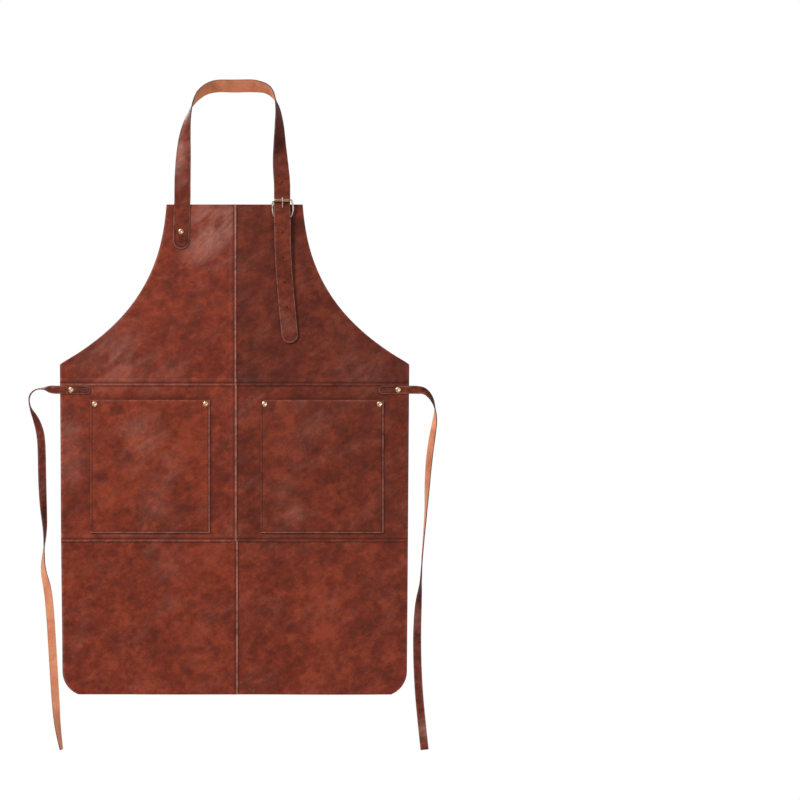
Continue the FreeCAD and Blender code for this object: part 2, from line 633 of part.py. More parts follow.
# --- thread ---------------------------------------------------------------------------------
def thread(points, front_y):
    """A line of stitches, as one flat strand in front of the leather and one behind it."""
    strands = []
    for y in (front_y - THREAD_T, 0.0):
        runs = []
        for (xa, za), (xb, zb) in zip(points, points[1:]):
            along = V(xb - xa, 0, zb - za)
            bar = box(-THREAD_W / 2, along.Length + THREAD_W / 2, 0, THREAD_T,
                      -THREAD_W / 2, THREAD_W / 2)
            bar.rotate(V(0, 0, 0), V(0, 1, 0), -math.degrees(math.atan2(along.z, along.x)))
            runs.append(bar.translated(V(xa, y, za)))
        strands.append(fuse(runs))
    return Part.makeCompound(strands)


def u_line(x, z_top, z_end, width, inset):
    """The stitch line round the rounded end of a strap that points down."""
    half = width / 2 - inset
    z_turn = z_end + width / 2
    arc = [(x - half * math.cos(a), z_turn - half * math.sin(a))
           for a in (math.pi * k / 8 for k in range(9))]
    return [(x - half, z_top)] + arc + [(x + half, z_top)]


def seam_threads():
    made = {}
    for row, top, bottom in ROWS:
        x = SEAM_X[row] - STITCH_IN
        low = bottom + THREAD_SHORT + (0 if row == "skirt" else STITCH_IN)
        high = top - (THREAD_SHORT if row == "bib" else THREAD_SHORT / 2)
        made[f"{row}_centre_seam_thread"] = thread([(x, high), (x, low)], LAP_Y)
    for name, z in (("waist", WAIST_Z), ("skirt", SKIRT_Z)):
        reach = side_x(z) - THREAD_SHORT
        line = [(-reach, z + STITCH_IN), (reach, z + STITCH_IN)]
        made[f"{name}_cross_seam_thread"] = thread(line, LAP_Y)
    return made


def piece_threads():
    made = {}
    for side, (centre, width) in POCKETS.items():
        mouth = WAIST_Z - POCKET_DROP
        low = mouth - POCKET_HEIGHT + POCKET_STITCH_IN
        half = width / 2 - POCKET_STITCH_IN
        top = mouth - POCKET_RIVET_IN[1] - RIVET_CAP_R - 1
        line = [(centre - half, top), (centre - half, low), (centre + half, low),
                (centre + half, top)]
        made[f"pocket_{side}_thread"] = thread(line, FRONT_Y - POCKET_T)
    top = STRAP_RIVET_Z + RIVET_CAP_R
    line = u_line(LEFT_X, top, SEWN_END_Z, STRAP_W, STRAP_STITCH_IN)
    made["neck_strap_thread"] = thread(line, FRONT_Y - STRAP_T)
    line = u_line(CHAPE_X, top, SEWN_END_Z, CHAPE_W, STRAP_STITCH_IN)
    made["chape_thread"] = thread(line, FRONT_Y - 2 * CHAPE_T)
    for side, sign in (("left", -1), ("right", 1)):
        inner = side_x(TIE_Z) - TIE_TAB + TIE_STITCH_IN
        outer = side_x(TIE_Z) - TIE_RIVET_IN - RIVET_CAP_R - 1
        half = TIE_W / 2 - TIE_STITCH_IN
        line = [(sign * outer, TIE_Z + half), (sign * inner, TIE_Z + half),
                (sign * inner, TIE_Z - half), (sign * outer, TIE_Z - half)]
        made[f"tie_{side}_thread"] = thread(line, FRONT_Y - TIE_T)
    return made


def main():
    parts = panels()
    straps = neck_strap()
    folded = chape()
    tie_parts = {side: tie(side) for side in ("left", "right")}

    neck_at = (LEFT_X, STRAP_RIVET_Z)
    chape_at = (CHAPE_X, STRAP_RIVET_Z)
    rivets = {
        "neck_strap_rivet": [(neck_at, FRONT_Y - STRAP_T)],
        "chape_rivet": [(chape_at, FRONT_Y - 2 * CHAPE_T)],
    }
    for side in ("left", "right"):
        rivets[f"tie_{side}_rivet"] = [(tie_rivet(side), FRONT_Y - TIE_T)]
        rivets[f"pocket_{side}_rivets"] = [(at, FRONT_Y - POCKET_T)
                                           for at in pocket_rivets(side)]

    waist_holes = {side: pocket_rivets(side) + [tie_rivet(side)] for side in ("left", "right")}
    for side in ("left", "right"):
        name = f"waist_panel_{side}"
        parts[name] = punched(parts[name], waist_holes[side])
        parts[f"pocket_{side}"] = punched(pocket(side), pocket_rivets(side))
        free, tab = tie_parts[side]
        parts[f"tie_{side}"] = free
        parts[f"tie_{side}_tab"] = punched(tab, [tie_rivet(side)])
    parts["bib_panel_left"] = punched(parts["bib_panel_left"], [neck_at])
    parts["bib_panel_right"] = punched(parts["bib_panel_right"], [chape_at])
    parts["buckle_chape"] = punched(folded, [chape_at])
    parts.update(straps)
    parts["buckle_frame"] = buckle_frame()
    parts["buckle_roller"] = roller()
    parts["buckle_prong"] = prong()
    parts.update(seam_threads())
    parts.update(piece_threads())
    for name, places in rivets.items():
        pairs = [rivet(x, z, y) for (x, z), y in places]
        parts[f"{name}_cap" if len(pairs) == 1 else f"{name[:-1]}_caps"] = Part.makeCompound(
            [cap for cap, _ in pairs])
        parts[f"{name}_back" if len(pairs) == 1 else f"{name[:-1]}_backs"] = Part.makeCompound(
            [back for _, back in pairs])
    for name, shape in parts.items():
        save(name, shape)
    print(len(parts), "nodes")


main()
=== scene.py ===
# %% [markdown]
# # A leather work apron, hung by its neck strap
#
# The apron is six pieces of brown pull-up leather, sewn in three rows, with two patch pockets, a
# neck strap that goes through a roller buckle, and a tie at each side of the waist. The frame that
# is loaded first holds the metal, and says where every piece of leather lies. This notebook cuts
# the leather, sews it and gives each surface its finish. All lengths are in metres.

# %% Load the frame
import math

import bmesh
import bpy
from mathutils import Matrix, Quaternion, Vector


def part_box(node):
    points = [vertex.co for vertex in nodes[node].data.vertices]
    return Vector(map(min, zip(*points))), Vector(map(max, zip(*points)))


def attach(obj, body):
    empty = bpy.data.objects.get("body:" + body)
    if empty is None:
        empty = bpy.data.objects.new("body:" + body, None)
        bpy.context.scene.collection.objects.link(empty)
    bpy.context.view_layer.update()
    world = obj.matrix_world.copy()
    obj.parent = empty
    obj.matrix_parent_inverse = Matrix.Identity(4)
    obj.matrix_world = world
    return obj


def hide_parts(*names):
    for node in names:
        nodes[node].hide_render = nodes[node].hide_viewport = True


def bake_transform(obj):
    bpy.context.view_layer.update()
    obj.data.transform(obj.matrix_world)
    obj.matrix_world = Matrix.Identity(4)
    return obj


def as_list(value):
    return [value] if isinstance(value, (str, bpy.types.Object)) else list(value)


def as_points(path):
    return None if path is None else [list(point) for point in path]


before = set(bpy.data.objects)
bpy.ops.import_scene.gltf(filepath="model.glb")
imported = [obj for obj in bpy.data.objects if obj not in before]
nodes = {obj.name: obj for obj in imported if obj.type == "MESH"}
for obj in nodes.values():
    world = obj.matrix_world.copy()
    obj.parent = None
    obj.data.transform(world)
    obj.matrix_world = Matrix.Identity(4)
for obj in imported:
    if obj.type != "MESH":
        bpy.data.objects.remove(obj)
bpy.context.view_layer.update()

# %% [markdown]
# ## Camera and light
#
# The apron is looked at square on from far away, so that its edges stay parallel. The camera keeps
# the apron on the left of the view. The light is a white room with three broad lamps: one high on
# the left, which draws the sheen on the leather, a weaker one on the right, and one behind.

# %% Camera
WIDE = 1.28                     # width of the view at the apron
FAR = 7.0
AIM = Vector((0.2646, 0.0, -0.5024))

camera_data = bpy.data.cameras.new("camera")
camera_data.lens = camera_data.sensor_width * FAR / WIDE
camera = bpy.data.objects.new("camera", camera_data)
camera.location = AIM + Vector((0, -FAR, 0))
camera.rotation_euler = (math.radians(90), 0, 0)
bpy.context.scene.collection.objects.link(camera)
bpy.context.scene.camera = camera
print("camera", FAR, "m away, view", WIDE, "m wide")


# %% Lamps and the white room
def lamp(name, place, aim, size, power):
    data = bpy.data.lights.new(name, "AREA")
    data.size = size
    data.energy = power
    obj = bpy.data.objects.new(name, data)
    obj.location = place
    obj.rotation_mode = "QUATERNION"
    obj.rotation_quaternion = (Vector(aim) - Vector(place)).to_track_quat("-Z", "Y")
    bpy.context.scene.collection.objects.link(obj)


AMBIENT = 0.36                  # the room's light on the apron, against its own white
lamp("key_lamp", (-1.7, -2.0, 1.25), (0, 0, -0.45), 0.9, 92)
lamp("fill_lamp", (1.9, -3.0, -0.6), (0, 0, -0.6), 1.8, 26)
lamp("back_lamp", (-1.2, 3.0, 1.4), (0, 0, -0.5), 2.0, 70)

world = bpy.data.worlds.new("white_room")
bpy.context.scene.world = world
world.use_nodes = True
room = world.node_tree
room.nodes.clear()
ambient = room.nodes.new("ShaderNodeBackground")
ambient.inputs["Strength"].default_value = AMBIENT
backdrop = room.nodes.new("ShaderNodeBackground")
backdrop.inputs["Strength"].default_value = 1.0
for shader in (ambient, backdrop):
    shader.inputs["Color"].default_value = (1, 1, 1, 1)
rays = room.nodes.new("ShaderNodeLightPath")
either = room.nodes.new("ShaderNodeMixShader")
out = room.nodes.new("ShaderNodeOutputWorld")
room.links.new(rays.outputs["Is Camera Ray"], either.inputs[0])
room.links.new(ambient.outputs[0], either.inputs[1])
room.links.new(backdrop.outputs[0], either.inputs[2])
room.links.new(either.outputs[0], out.inputs["Surface"])
bpy.context.scene.view_settings.view_transform = "Standard"
print("lamps:", [light.name for light in bpy.data.lights])

# %% [markdown]
# ## Shader maths as Python
#
# A material is a graph of nodes. `Wire` wraps one socket, so that `rough + dirt * 0.2` adds its own
# Math nodes, and `Finish.node` makes any other node from its type, its settings and its sockets.


# %% Wire and Finish
class Wire:
    """One output socket that can stand in a sum."""

    def __init__(self, finish, socket):
        self.finish = finish
        self.socket = socket

    def maths(self, operation, first, second):
        return self.finish.node("ShaderNodeMath", {"operation": operation}, {0: first, 1: second})

    def __add__(self, other):
        return self.maths("ADD", self, other)

    def __radd__(self, other):
        return self.maths("ADD", other, self)

    def __sub__(self, other):
        return self.maths("SUBTRACT", self, other)

    def __mul__(self, other):
        return self.maths("MULTIPLY", self, other)


class Finish:
    """A material whose nodes are made one at a time."""

    def __init__(self, name):
        self.material = bpy.data.materials.new(name)
        self.material.use_nodes = True
        self.tree = self.material.node_tree
        self.tree.nodes.clear()
        self.coordinates = self.node("ShaderNodeTexCoord", {}, {}, "Object")

    def node(self, kind, settings, sockets, output=0):
        """Adds a node and returns one output. A ramp's stops are a setting."""
        made = self.tree.nodes.new(kind)
        for key, value in settings.items():
            if key == "stops":
                ramp = made.color_ramp
                while len(ramp.elements) < len(value):
                    ramp.elements.new(0.5)
                for element, (place, colour) in zip(ramp.elements, value):
                    element.position = place
                    element.color = (*colour, 1)
            else:
                setattr(made, key, value)
        for key, value in sockets.items():
            if isinstance(value, Wire):
                self.tree.links.new(value.socket, made.inputs[key])
            else:
                made.inputs[key].default_value = value
        return Wire(self, made.outputs[output]) if made.outputs else None

    def noise(self, scale, detail=4.0, rough=0.55, warp=0.0, stretch=(1, 1, 1), shift=0.0,
              turn=0.0):
        """Cloudy noise with so many features to the metre, stretched along turned axes."""
        where = self.node("ShaderNodeMapping", {"vector_type": "TEXTURE"}, {
            "Vector": self.coordinates, "Scale": stretch, "Location": (shift, shift, shift),
            "Rotation": (0, math.radians(turn), 0)})
        return self.node("ShaderNodeTexNoise", {}, {
            "Vector": where, "Scale": scale, "Detail": detail, "Roughness": rough,
            "Distortion": warp})

    def cells(self, scale):
        """Distance from the middle of each cell of a pebble pattern."""
        return self.node("ShaderNodeTexVoronoi", {}, {
            "Vector": self.coordinates, "Scale": scale}, "Distance")

    def spots(self, *places):
        """Soft round spots of (x, z, radius, strength), added up."""
        total = 0.0
        for x, z, radius, strength in places:
            far = self.node("ShaderNodeVectorMath", {"operation": "DISTANCE"},
                            {0: self.coordinates, 1: (x, 0, z)}, "Value")
            total = self.ramp(far * (1 / radius), (0.0, strength), (1.0, 0.0)) + total
        return total

    def ramp(self, value, *stops):
        """Colours or greys along a value. A grey stop is one number."""
        full = [(at, (c, c, c) if isinstance(c, float) else c) for at, c in stops]
        return self.node("ShaderNodeValToRGB", {"stops": full}, {0: value})

    def mix(self, share, first, second):
        """Blends two colours. The second has the share."""
        def four(c):
            return (*c, 1) if isinstance(c, tuple) else c

        return self.node("ShaderNodeMix", {"data_type": "RGBA"},
                         {0: share, 6: four(first), 7: four(second)}, 2)

    def bump(self, height, strength, depth, under=None):
        sockets = {"Height": height, "Strength": strength, "Distance": depth}
        if under:
            sockets["Normal"] = under
        return self.node("ShaderNodeBump", {}, sockets)

    def attribute(self, name):
        return self.node("ShaderNodeAttribute", {"attribute_name": name}, {}, "Fac")

    def surface(self, **sockets):
        """Ends the graph in one Principled surface. Names use _ for a space."""
        named = {}
        for key, value in sockets.items():
            if isinstance(value, tuple) and len(value) == 3:
                value = (*value, 1)
            named[key.replace("_", " ")] = value
        shader = self.node("ShaderNodeBsdfPrincipled", {}, named)
        self.node("ShaderNodeOutputMaterial", {}, {"Surface": shader})
        return self.material


def srgb(red, green, blue):
    """A colour as the eye sees it, from 0 to 255, as the linear value that shaders take."""
    def linear(c):
        c = c / 255
        return c / 12.92 if c <= 0.04045 else ((c + 0.055) / 1.055) ** 2.4
    return linear(red), linear(green), linear(blue)


print("a mid brown is", [round(c, 3) for c in srgb(109, 40, 22)])

# %% [markdown]
# ## The leather's two faces
#
# Pull-up leather is waxed: where it is stretched or folded the wax moves and the colour turns
# paler, and where it rests the dye gathers in dark clouds. So the grain side is clouds of three
# sizes between a dark and a warm brown. Over them lies painted sheen: pale veils, pale lines on
# fine wrinkles, and soft spots of painted highlight, which each hide lists as (x, z, radius,
# strength). The edges are pale, partly from wear and partly as painted highlight, and painted
# shade darkens the creases, the stitch grooves and the leather beside the pockets, as two
# attributes say. The relief is a pebble of fine cells over soft creases. The flesh side is suede:
# short fibres, lighter and matt.


# %% Grain side
def grain_leather(name, dark, middle, warm, pale_wear_and_highlight, rough, sheen_spots, cloud=1.0, shift=0.0):
    f = Finish(name)
    clouds = f.noise(11.0 * cloud, 2.0, 0.5, 0.3, (1.1, 1, 1), shift)
    patches = f.noise(44.0 * cloud, 3.0, 0.5, 0.2, (1.15, 1, 0.9), shift + 3, -25)
    mottles = f.noise(120.0, 3.0, 0.6, 0.2, (1.1, 1, 0.9), shift + 5, -20)
    specks = f.noise(430.0, 2.0, 0.6)
    tone = clouds * 0.22 + patches * 0.36 + mottles * 0.27 + specks * 0.15
    dye = f.ramp(tone, (0.41, dark), (0.495, middle), (0.59, warm))
    # Painted sheen: pale veils, and pale lines along fine wrinkles as painted highlight.
    wrinkles = f.noise(150.0, 4.0, 0.6, 1.6, (1.8, 1, 0.8), shift + 9, -30)
    wrinkle_highlight = f.ramp(wrinkles, (0.545, 0.0), (0.575, 1.0), (0.61, 0.0))
    sheen_veil = f.noise(26.0, 5.0, 0.66, 0.5, (2.2, 1, 0.8), shift + 7, -40)
    sheen_streaks = f.ramp(sheen_veil, (0.5, 0.0), (0.72, 1.0))
    # Soft spots of painted highlight, at the listed places where the lamps' sheen lies.
    painted_sheen_spots = f.spots(*sheen_spots) * f.ramp(sheen_veil, (0.38, 0.1), (0.6, 1.0))
    painted_sheen = f.ramp(sheen_streaks * (0.07 + wrinkle_highlight * 0.22) + painted_sheen_spots * (0.85 + wrinkle_highlight * 0.3),
                  (0.0, 0.0), (1.0, 1.0))
    dye = f.mix(painted_sheen * 0.7, dye, pale_wear_and_highlight)
    pores = f.cells(1150.0)
    creases = f.noise(85.0, 5.0, 0.62, 1.2, (2.0, 1, 0.8), shift + 1, -35)
    crease_shade_line = f.ramp(creases, (0.455, 0.0), (0.5, 1.0), (0.545, 0.0))
    # Painted shade along the creases of the relief.
    dye = f.mix(crease_shade_line * 0.12, dye, dark)
    # Pale edges from a vertex attribute: partly wear, and partly painted highlight on the edges
    # that face the light.
    wear = f.attribute("wear") * f.ramp(mottles, (0.38, 0.35), (0.6, 1.0))
    dye = f.mix(wear * 0.7, dye, pale_wear_and_highlight)
    # Painted shade, very dark, in the stitch grooves, along the straps' creased lines and beside
    # the pockets.
    dye = f.mix(f.attribute("groove") * 0.8, dye, tuple(c * 0.35 for c in dark))
    low = f.bump(creases, 0.3, 0.0006)
    fine = f.bump(pores + specks * 0.6, 0.3, 0.00022, low)
    gloss = rough + mottles * 0.14 - painted_sheen * 0.12 - wear * 0.06
    return f.surface(Base_Color=dye, Roughness=gloss, Normal=fine, Specular_IOR_Level=0.17)


# %% Flesh side
def flesh_leather(name, dark, middle, light):
    f = Finish(name)
    clouds = f.noise(7.0, 4.0, 0.55, 0.4)
    stains = f.noise(42.0, 5.0, 0.65, 0.3, (1, 1, 1.4), 2.0)
    fibres = f.noise(900.0, 3.0, 0.7, 0.6, (1, 1, 2.8))
    tone = clouds * 0.45 + stains * 0.35 + fibres * 0.2
    nap = f.ramp(tone, (0.36, dark), (0.5, middle), (0.64, light))
    scratch = f.noise(120.0, 4.0, 0.7, 0.2, (0.4, 1, 4), 5.0)
    nap = f.mix(f.ramp(scratch, (0.62, 0.0), (0.74, 1.0)) * 0.3, nap, dark)
    fuzz = f.bump(fibres + stains * 0.5, 0.5, 0.0004)
    return f.surface(Base_Color=nap, Roughness=0.92, Normal=fuzz, Specular_IOR_Level=0.2,
                     Sheen_Weight=0.25, Sheen_Roughness=0.5, Sheen_Tint=(0.9, 0.6, 0.42))


# %% Cut edges, burnished dark
def edge_leather(name, dark, light):
    f = Finish(name)
    layers = f.noise(700.0, 3.0, 0.6, 0.0)
    dye = f.ramp(layers, (0.35, dark), (0.65, light))
    fibre = f.bump(layers, 0.3, 0.0002)
    return f.surface(Base_Color=dye, Roughness=0.5 + layers * 0.2, Normal=fibre)


# %% The hides, with their spots of painted sheen, and darker copies as painted shade
# The pale colour of worn edges and of the painted sheen and highlights.
PALE_WEAR_AND_HIGHLIGHT = srgb(196, 140, 126)
# Spots of painted sheen on each kind of piece, as (x, z, radius, strength).
PANEL_SHEEN_SPOTS = ((-0.026, -0.212, 0.05, 0.95), (-0.042, -0.25, 0.055, 0.5),
                 (-0.19, -0.43, 0.07, 0.4), (-0.272, -0.535, 0.035, 0.45),
                 (-0.12, -0.455, 0.05, 0.2), (0.20, -0.455, 0.05, 0.15),
                 (-0.26, -0.60, 0.04, 0.2), (-0.11, -0.76, 0.05, 0.12))
POCKET_SHEEN_SPOTS = ((-0.13, -0.60, 0.06, 0.3), (-0.15, -0.55, 0.05, 0.2), (0.09, -0.67, 0.05, 0.15),
                  (0.12, -0.53, 0.04, 0.15), (-0.12, -0.68, 0.05, 0.15))
STRAP_SHEEN_SPOTS = ((-0.094, -0.135, 0.03, 0.9), (-0.090, -0.095, 0.028, 0.8),
                 (-0.084, -0.06, 0.025, 0.5), (0.083, -0.38, 0.02, 0.3))
GRAIN = grain_leather("panel_grain", srgb(88, 31, 17), srgb(109, 40, 22), srgb(133, 54, 31),
                      PALE_WEAR_AND_HIGHLIGHT, 0.44, PANEL_SHEEN_SPOTS)
# The right-hand copies are the same leather made darker, as painted shade over the right side; the
# bib's copy is darker still.
GRAIN_RIGHT_SHADED = grain_leather("panel_grain_right_shaded", srgb(80, 28, 15), srgb(99, 36, 19),
                            srgb(121, 49, 28), PALE_WEAR_AND_HIGHLIGHT, 0.46, PANEL_SHEEN_SPOTS[4:], shift=2.0)
GRAIN_SHADED = grain_leather("panel_grain_shaded", srgb(73, 25, 14), srgb(91, 33, 18),
                             srgb(112, 45, 26), PALE_WEAR_AND_HIGHLIGHT, 0.46, PANEL_SHEEN_SPOTS[4:], shift=4.0)
POCKET = grain_leather("pocket_grain", srgb(88, 31, 17), srgb(111, 41, 21), srgb(135, 54, 30),
                       PALE_WEAR_AND_HIGHLIGHT, 0.43, POCKET_SHEEN_SPOTS, shift=11.0)
POCKET_RIGHT_SHADED = grain_leather("pocket_grain_right_shaded", srgb(81, 28, 15), srgb(101, 37, 19),
                             srgb(124, 50, 28), PALE_WEAR_AND_HIGHLIGHT, 0.46, POCKET_SHEEN_SPOTS[2:4], shift=13.0)
STRAP = grain_leather("strap_grain", srgb(76, 28, 17), srgb(97, 37, 22), srgb(118, 49, 30),
                      PALE_WEAR_AND_HIGHLIGHT, 0.36, STRAP_SHEEN_SPOTS, cloud=1.8, shift=5.0)
# The tie's two spots are painted highlights.
TIE = grain_leather("tie_grain", srgb(66, 24, 15), srgb(90, 34, 22), srgb(116, 48, 31),
                    PALE_WEAR_AND_HIGHLIGHT, 0.4, ((0.302, -1.03, 0.026, 0.9), (0.293, -0.85, 0.028, 0.8)),
                    cloud=2.2, shift=9.0)
FLESH = flesh_leather("panel_flesh", srgb(160, 90, 62), srgb(194, 118, 84), srgb(218, 144, 110))
STRAP_FLESH = flesh_leather("strap_flesh", srgb(158, 86, 56), srgb(206, 126, 90),
                            srgb(236, 160, 120))
TIE_FLESH = flesh_leather("tie_flesh", srgb(160, 90, 62), srgb(204, 130, 96), srgb(228, 160, 124))
EDGE = edge_leather("cut_edge", srgb(36, 14, 12), srgb(74, 36, 29))
print("hides:", [hide.name for hide in (GRAIN, GRAIN_RIGHT_SHADED, GRAIN_SHADED, POCKET, POCKET_RIGHT_SHADED,
                                        STRAP, TIE)])

# %% [markdown]
# ## Thread and metal
#
# The thread is waxed and dark. The rivets and the roller are brass that has dulled to a soft
# antique colour, darker where hands don't rub it. The buckle's wire and prong are silver-coloured,
# polished and finely scratched.


# %% Thread
def thread_finish():
    f = Finish("waxed_thread")
    strands = f.noise(2600.0, 2.0, 0.6)
    dye = f.ramp(strands, (0.35, srgb(38, 17, 14)), (0.65, srgb(84, 42, 32)))
    twist = f.bump(strands, 0.6, 0.0002)
    return f.surface(Base_Color=dye, Roughness=0.6, Normal=twist)


# %% Metal
def metal_finish(name, tarnish, clean, rough):
    f = Finish(name)
    dull = f.noise(260.0, 4.0, 0.6, 0.3)
    colour = f.ramp(dull, (0.34, tarnish), (0.58, clean))
    scratches = f.noise(1800.0, 2.0, 0.5, 0.0, (1, 1, 5))
    marks = f.bump(scratches, 0.08, 0.0001)
    gloss = rough + f.ramp(dull, (0.3, 0.16), (0.6, 0.0)) + scratches * 0.06
    return f.surface(Base_Color=colour, Metallic=1.0, Roughness=gloss, Normal=marks)


THREAD = thread_finish()
BRASS = metal_finish("antique_brass", srgb(168, 128, 92), srgb(238, 206, 168), 0.26)
ROLLER = metal_finish("dull_brass", srgb(128, 94, 68), srgb(196, 158, 124), 0.34)
STEEL = metal_finish("antique_silver", srgb(186, 164, 140), srgb(250, 240, 226), 0.2)
for name, node in nodes.items():
    if "rivet" in name:
        metal = BRASS
    elif name == "buckle_roller":
        metal = ROLLER
    elif name in ("buckle_frame", "buckle_prong"):
        metal = STEEL
    else:
        continue
    for place in node.material_slots:
        place.material = metal
    print(name, "is", metal.name)

# %% [markdown]
# ## The pattern
#
# A pattern cutter works from a few measures. Most are read from the frame: the rows' seams, the
# width of each edge and the leather's thickness. The armhole is one cubic curve, and the hem's
# corners are part of a circle.

# %% Measures
LEATHER = (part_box("waist_panel_left")[1].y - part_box("waist_panel_left")[0].y) / 2
BIB_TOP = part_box("bib_panel_left")[1].z
ROW_FOOT = {row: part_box(f"{row}_panel_left")[0].z for row in ("bib", "waist", "skirt")}
ROW_TOP = {"bib": BIB_TOP, "waist": ROW_FOOT["bib"], "skirt": ROW_FOOT["waist"]}
SEAM = {row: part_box(f"{row}_panel_left")[1].x for row in ROW_FOOT}
HEM = ROW_FOOT["skirt"]
TOP_HALF = 0.109                # half width of the bib's top
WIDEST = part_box("bib_panel_right")[1].x
HEM_HALF = 0.2755
ARMHOLE = 0.255                 # height of the armhole's curve
ARMHOLE_CURVE = ((0.0, 0.0), (0.035, 0.294), (0.154, 0.686), (1.0, 1.0))    # shares out and down
HEM_ROUND = 0.040               # the hem corner's radius
HEM_ROUND_DROP = 0.037          # and how much of it is left above the hem
LAP = 0.008                     # one panel lies this far over the next
JOGGLE = 0.003                  # and steps down again over this width
STITCH_IN = 0.004               # stitches, in from the upper piece's edge
LAP_ROWS = (0.0008, 0.0028, STITCH_IN, 0.0052, LAP, LAP + 0.0015, LAP + JOGGLE)
CELL = 0.0042                   # mesh width of the leather
print("leather", round(LEATHER * 1000, 2), "mm, seams", {r: round(x, 4) for r, x in SEAM.items()})


# %% Outline
def armhole_half_width(drop):
    """Half width of the bib at a drop below its top, on the armhole's curve."""
    across = [TOP_HALF + out * (WIDEST - TOP_HALF) for out, _ in ARMHOLE_CURVE]
    down = [share * ARMHOLE for _, share in ARMHOLE_CURVE]

    def bezier(t, p):
        s = 1 - t
        return s * s * s * p[0] + 3 * s * s * t * p[1] + 3 * s * t * t * p[2] + t * t * t * p[3]

    low, high = 0.0, 1.0
    for _ in range(24):
        t = (low + high) / 2
        low, high = (t, high) if bezier(t, down) < drop else (low, t)
    return bezier(low, across)


def half_width(z):
    """Half width of the apron at a height."""
    drop = BIB_TOP - z
    if drop < ARMHOLE:
        return armhole_half_width(max(drop, 0.0))
    share = (drop - ARMHOLE) / (BIB_TOP - ARMHOLE - HEM)
    side = WIDEST + (HEM_HALF - WIDEST) * share
    into = HEM + HEM_ROUND_DROP - z
    if into > 0:
        side -= HEM_ROUND - math.sqrt(HEM_ROUND ** 2 - into ** 2)
    return side


def smooth(t):
    t = min(max(t, 0.0), 1.0)
    return t * t * (3 - 2 * t)


print("half widths", [round(half_width(BIB_TOP - k * ARMHOLE / 4), 3) for k in range(5)])

# %% [markdown]
# ## How the leather hangs
#
# Leather this thick hangs almost flat. Below the pockets it falls in long shallow flutes that open
# towards the hem, and the bib swells a little between the strap and the waist. Where a rivet or a
# buckle fastens it, it stays in its place in the frame. Every piece that lies on the leather uses
# the same function, so the layers stay together.

# %% Drape
WAIST = ROW_TOP["waist"]
FLUTE_DEPTH = 0.0042
SIDE_CURL = 0.0046
BIB_SWELL = 0.0016


def drape(x, z):
    """How far the hanging leather leaves its flat place, towards the back."""
    skirt = smooth((WAIST - 0.12 - z) / 0.36)
    flutes = math.sin(x * 25.0 + 0.7) * 0.6 + math.sin(x * 11.0 - 1.9 + z * 1.4) * 0.55
    hem = FLUTE_DEPTH * skirt * flutes
    side = smooth((abs(x) - 0.215) / 0.07) * smooth((WAIST - 0.06 - z) / 0.2)
    curl = SIDE_CURL * side * math.sin(z * 13.0 + (1.1 if x < 0 else 3.0))
    bib = smooth((WAIST + 0.2 - z) / 0.08) * smooth((z - WAIST - 0.02) / 0.08)
    swell = -BIB_SWELL * bib * math.cos(x * 16.0 + 0.5)
    return hem + curl + swell


def rise(row, side, x, z):
    """1 where a panel lies over its neighbour, 0 where it lies at the back."""
    over = 0.0
    if row != "skirt":
        over = 1 - smooth((z - ROW_FOOT[row] - LAP) / JOGGLE)
    if side == "left":
        over = max(over, smooth((x - SEAM[row] + LAP + JOGGLE) / JOGGLE))
    return over


def valley(distance, depth=0.0005, width=0.0009):
    """The groove that a tight line of stitches pulls into the leather."""
    return depth * math.exp(-(distance / width) ** 2)


def puff(distance, width, height=0.0004):
    """The roll of leather that the groove leaves between the stitches and the edge."""
    return height * math.sin(math.pi * distance / width) if 0 < distance < width else 0.0


def panel_front(row, side, x, z):
    """The grain side's y on a panel."""
    y = drape(x, z) - LEATHER * (1 + rise(row, side, x, z))
    if row != "skirt":
        low = z - ROW_FOOT[row]
        y += valley(low - STITCH_IN) - puff(low, STITCH_IN)
    if side == "left":
        into = SEAM[row] - x
        y += valley(into - STITCH_IN) - puff(into, STITCH_IN)
    return y


# %% [markdown]
# ## Cutting a panel
#
# A panel starts as a flat grid. `bisect_plane` adds rows of edges where the leather steps over a
# lap or dips at a seam, so that the fold is crisp and the rest of the grid stays coarse. The grid
# is then drawn in to the outline, bent to its place, and given its thickness by Solidify, whose
# three material slots are the grain side, the flesh side and the cut edge.


# %% From a blank to a finished piece of leather
def crease(bm, point, normal):
    """Adds a row of edges where a plane cuts the blank."""
    everything = bm.verts[:] + bm.edges[:] + bm.faces[:]
    bmesh.ops.bisect_plane(bm, geom=everything, dist=1e-6, plane_co=point, plane_no=normal)


def blank(low_x, high_x, low_z, high_z, cell=CELL):
    """A flat grid in the plane y = 0 whose faces look to the front."""
    bm = bmesh.new()
    across = max(2, round((high_x - low_x) / cell))
    down = max(2, round((high_z - low_z) / cell))
    bmesh.ops.create_grid(bm, x_segments=across, y_segments=down, size=0.5)
    bmesh.ops.rotate(bm, verts=bm.verts, cent=(0, 0, 0), matrix=Matrix.Rotation(
        math.radians(90), 3, "X"))
    bmesh.ops.scale(bm, verts=bm.verts, vec=(high_x - low_x, 1, high_z - low_z))
    bmesh.ops.translate(bm, verts=bm.verts, vec=((low_x + high_x) / 2, 0, (low_z + high_z) / 2))
    return bm


def notch(bm, inside):
    """Cuts away the faces whose middle is inside."""
    gone = [f for f in bm.faces if inside(*f.calc_center_median().xz)]
    bmesh.ops.delete(bm, geom=gone, context="FACES")


def mesh_of(obj):
    """The object's mesh with its modifiers applied."""
    bpy.context.view_layer.update()
    seen = obj.evaluated_get(bpy.context.evaluated_depsgraph_get())
    return bpy.data.meshes.new_from_object(seen)


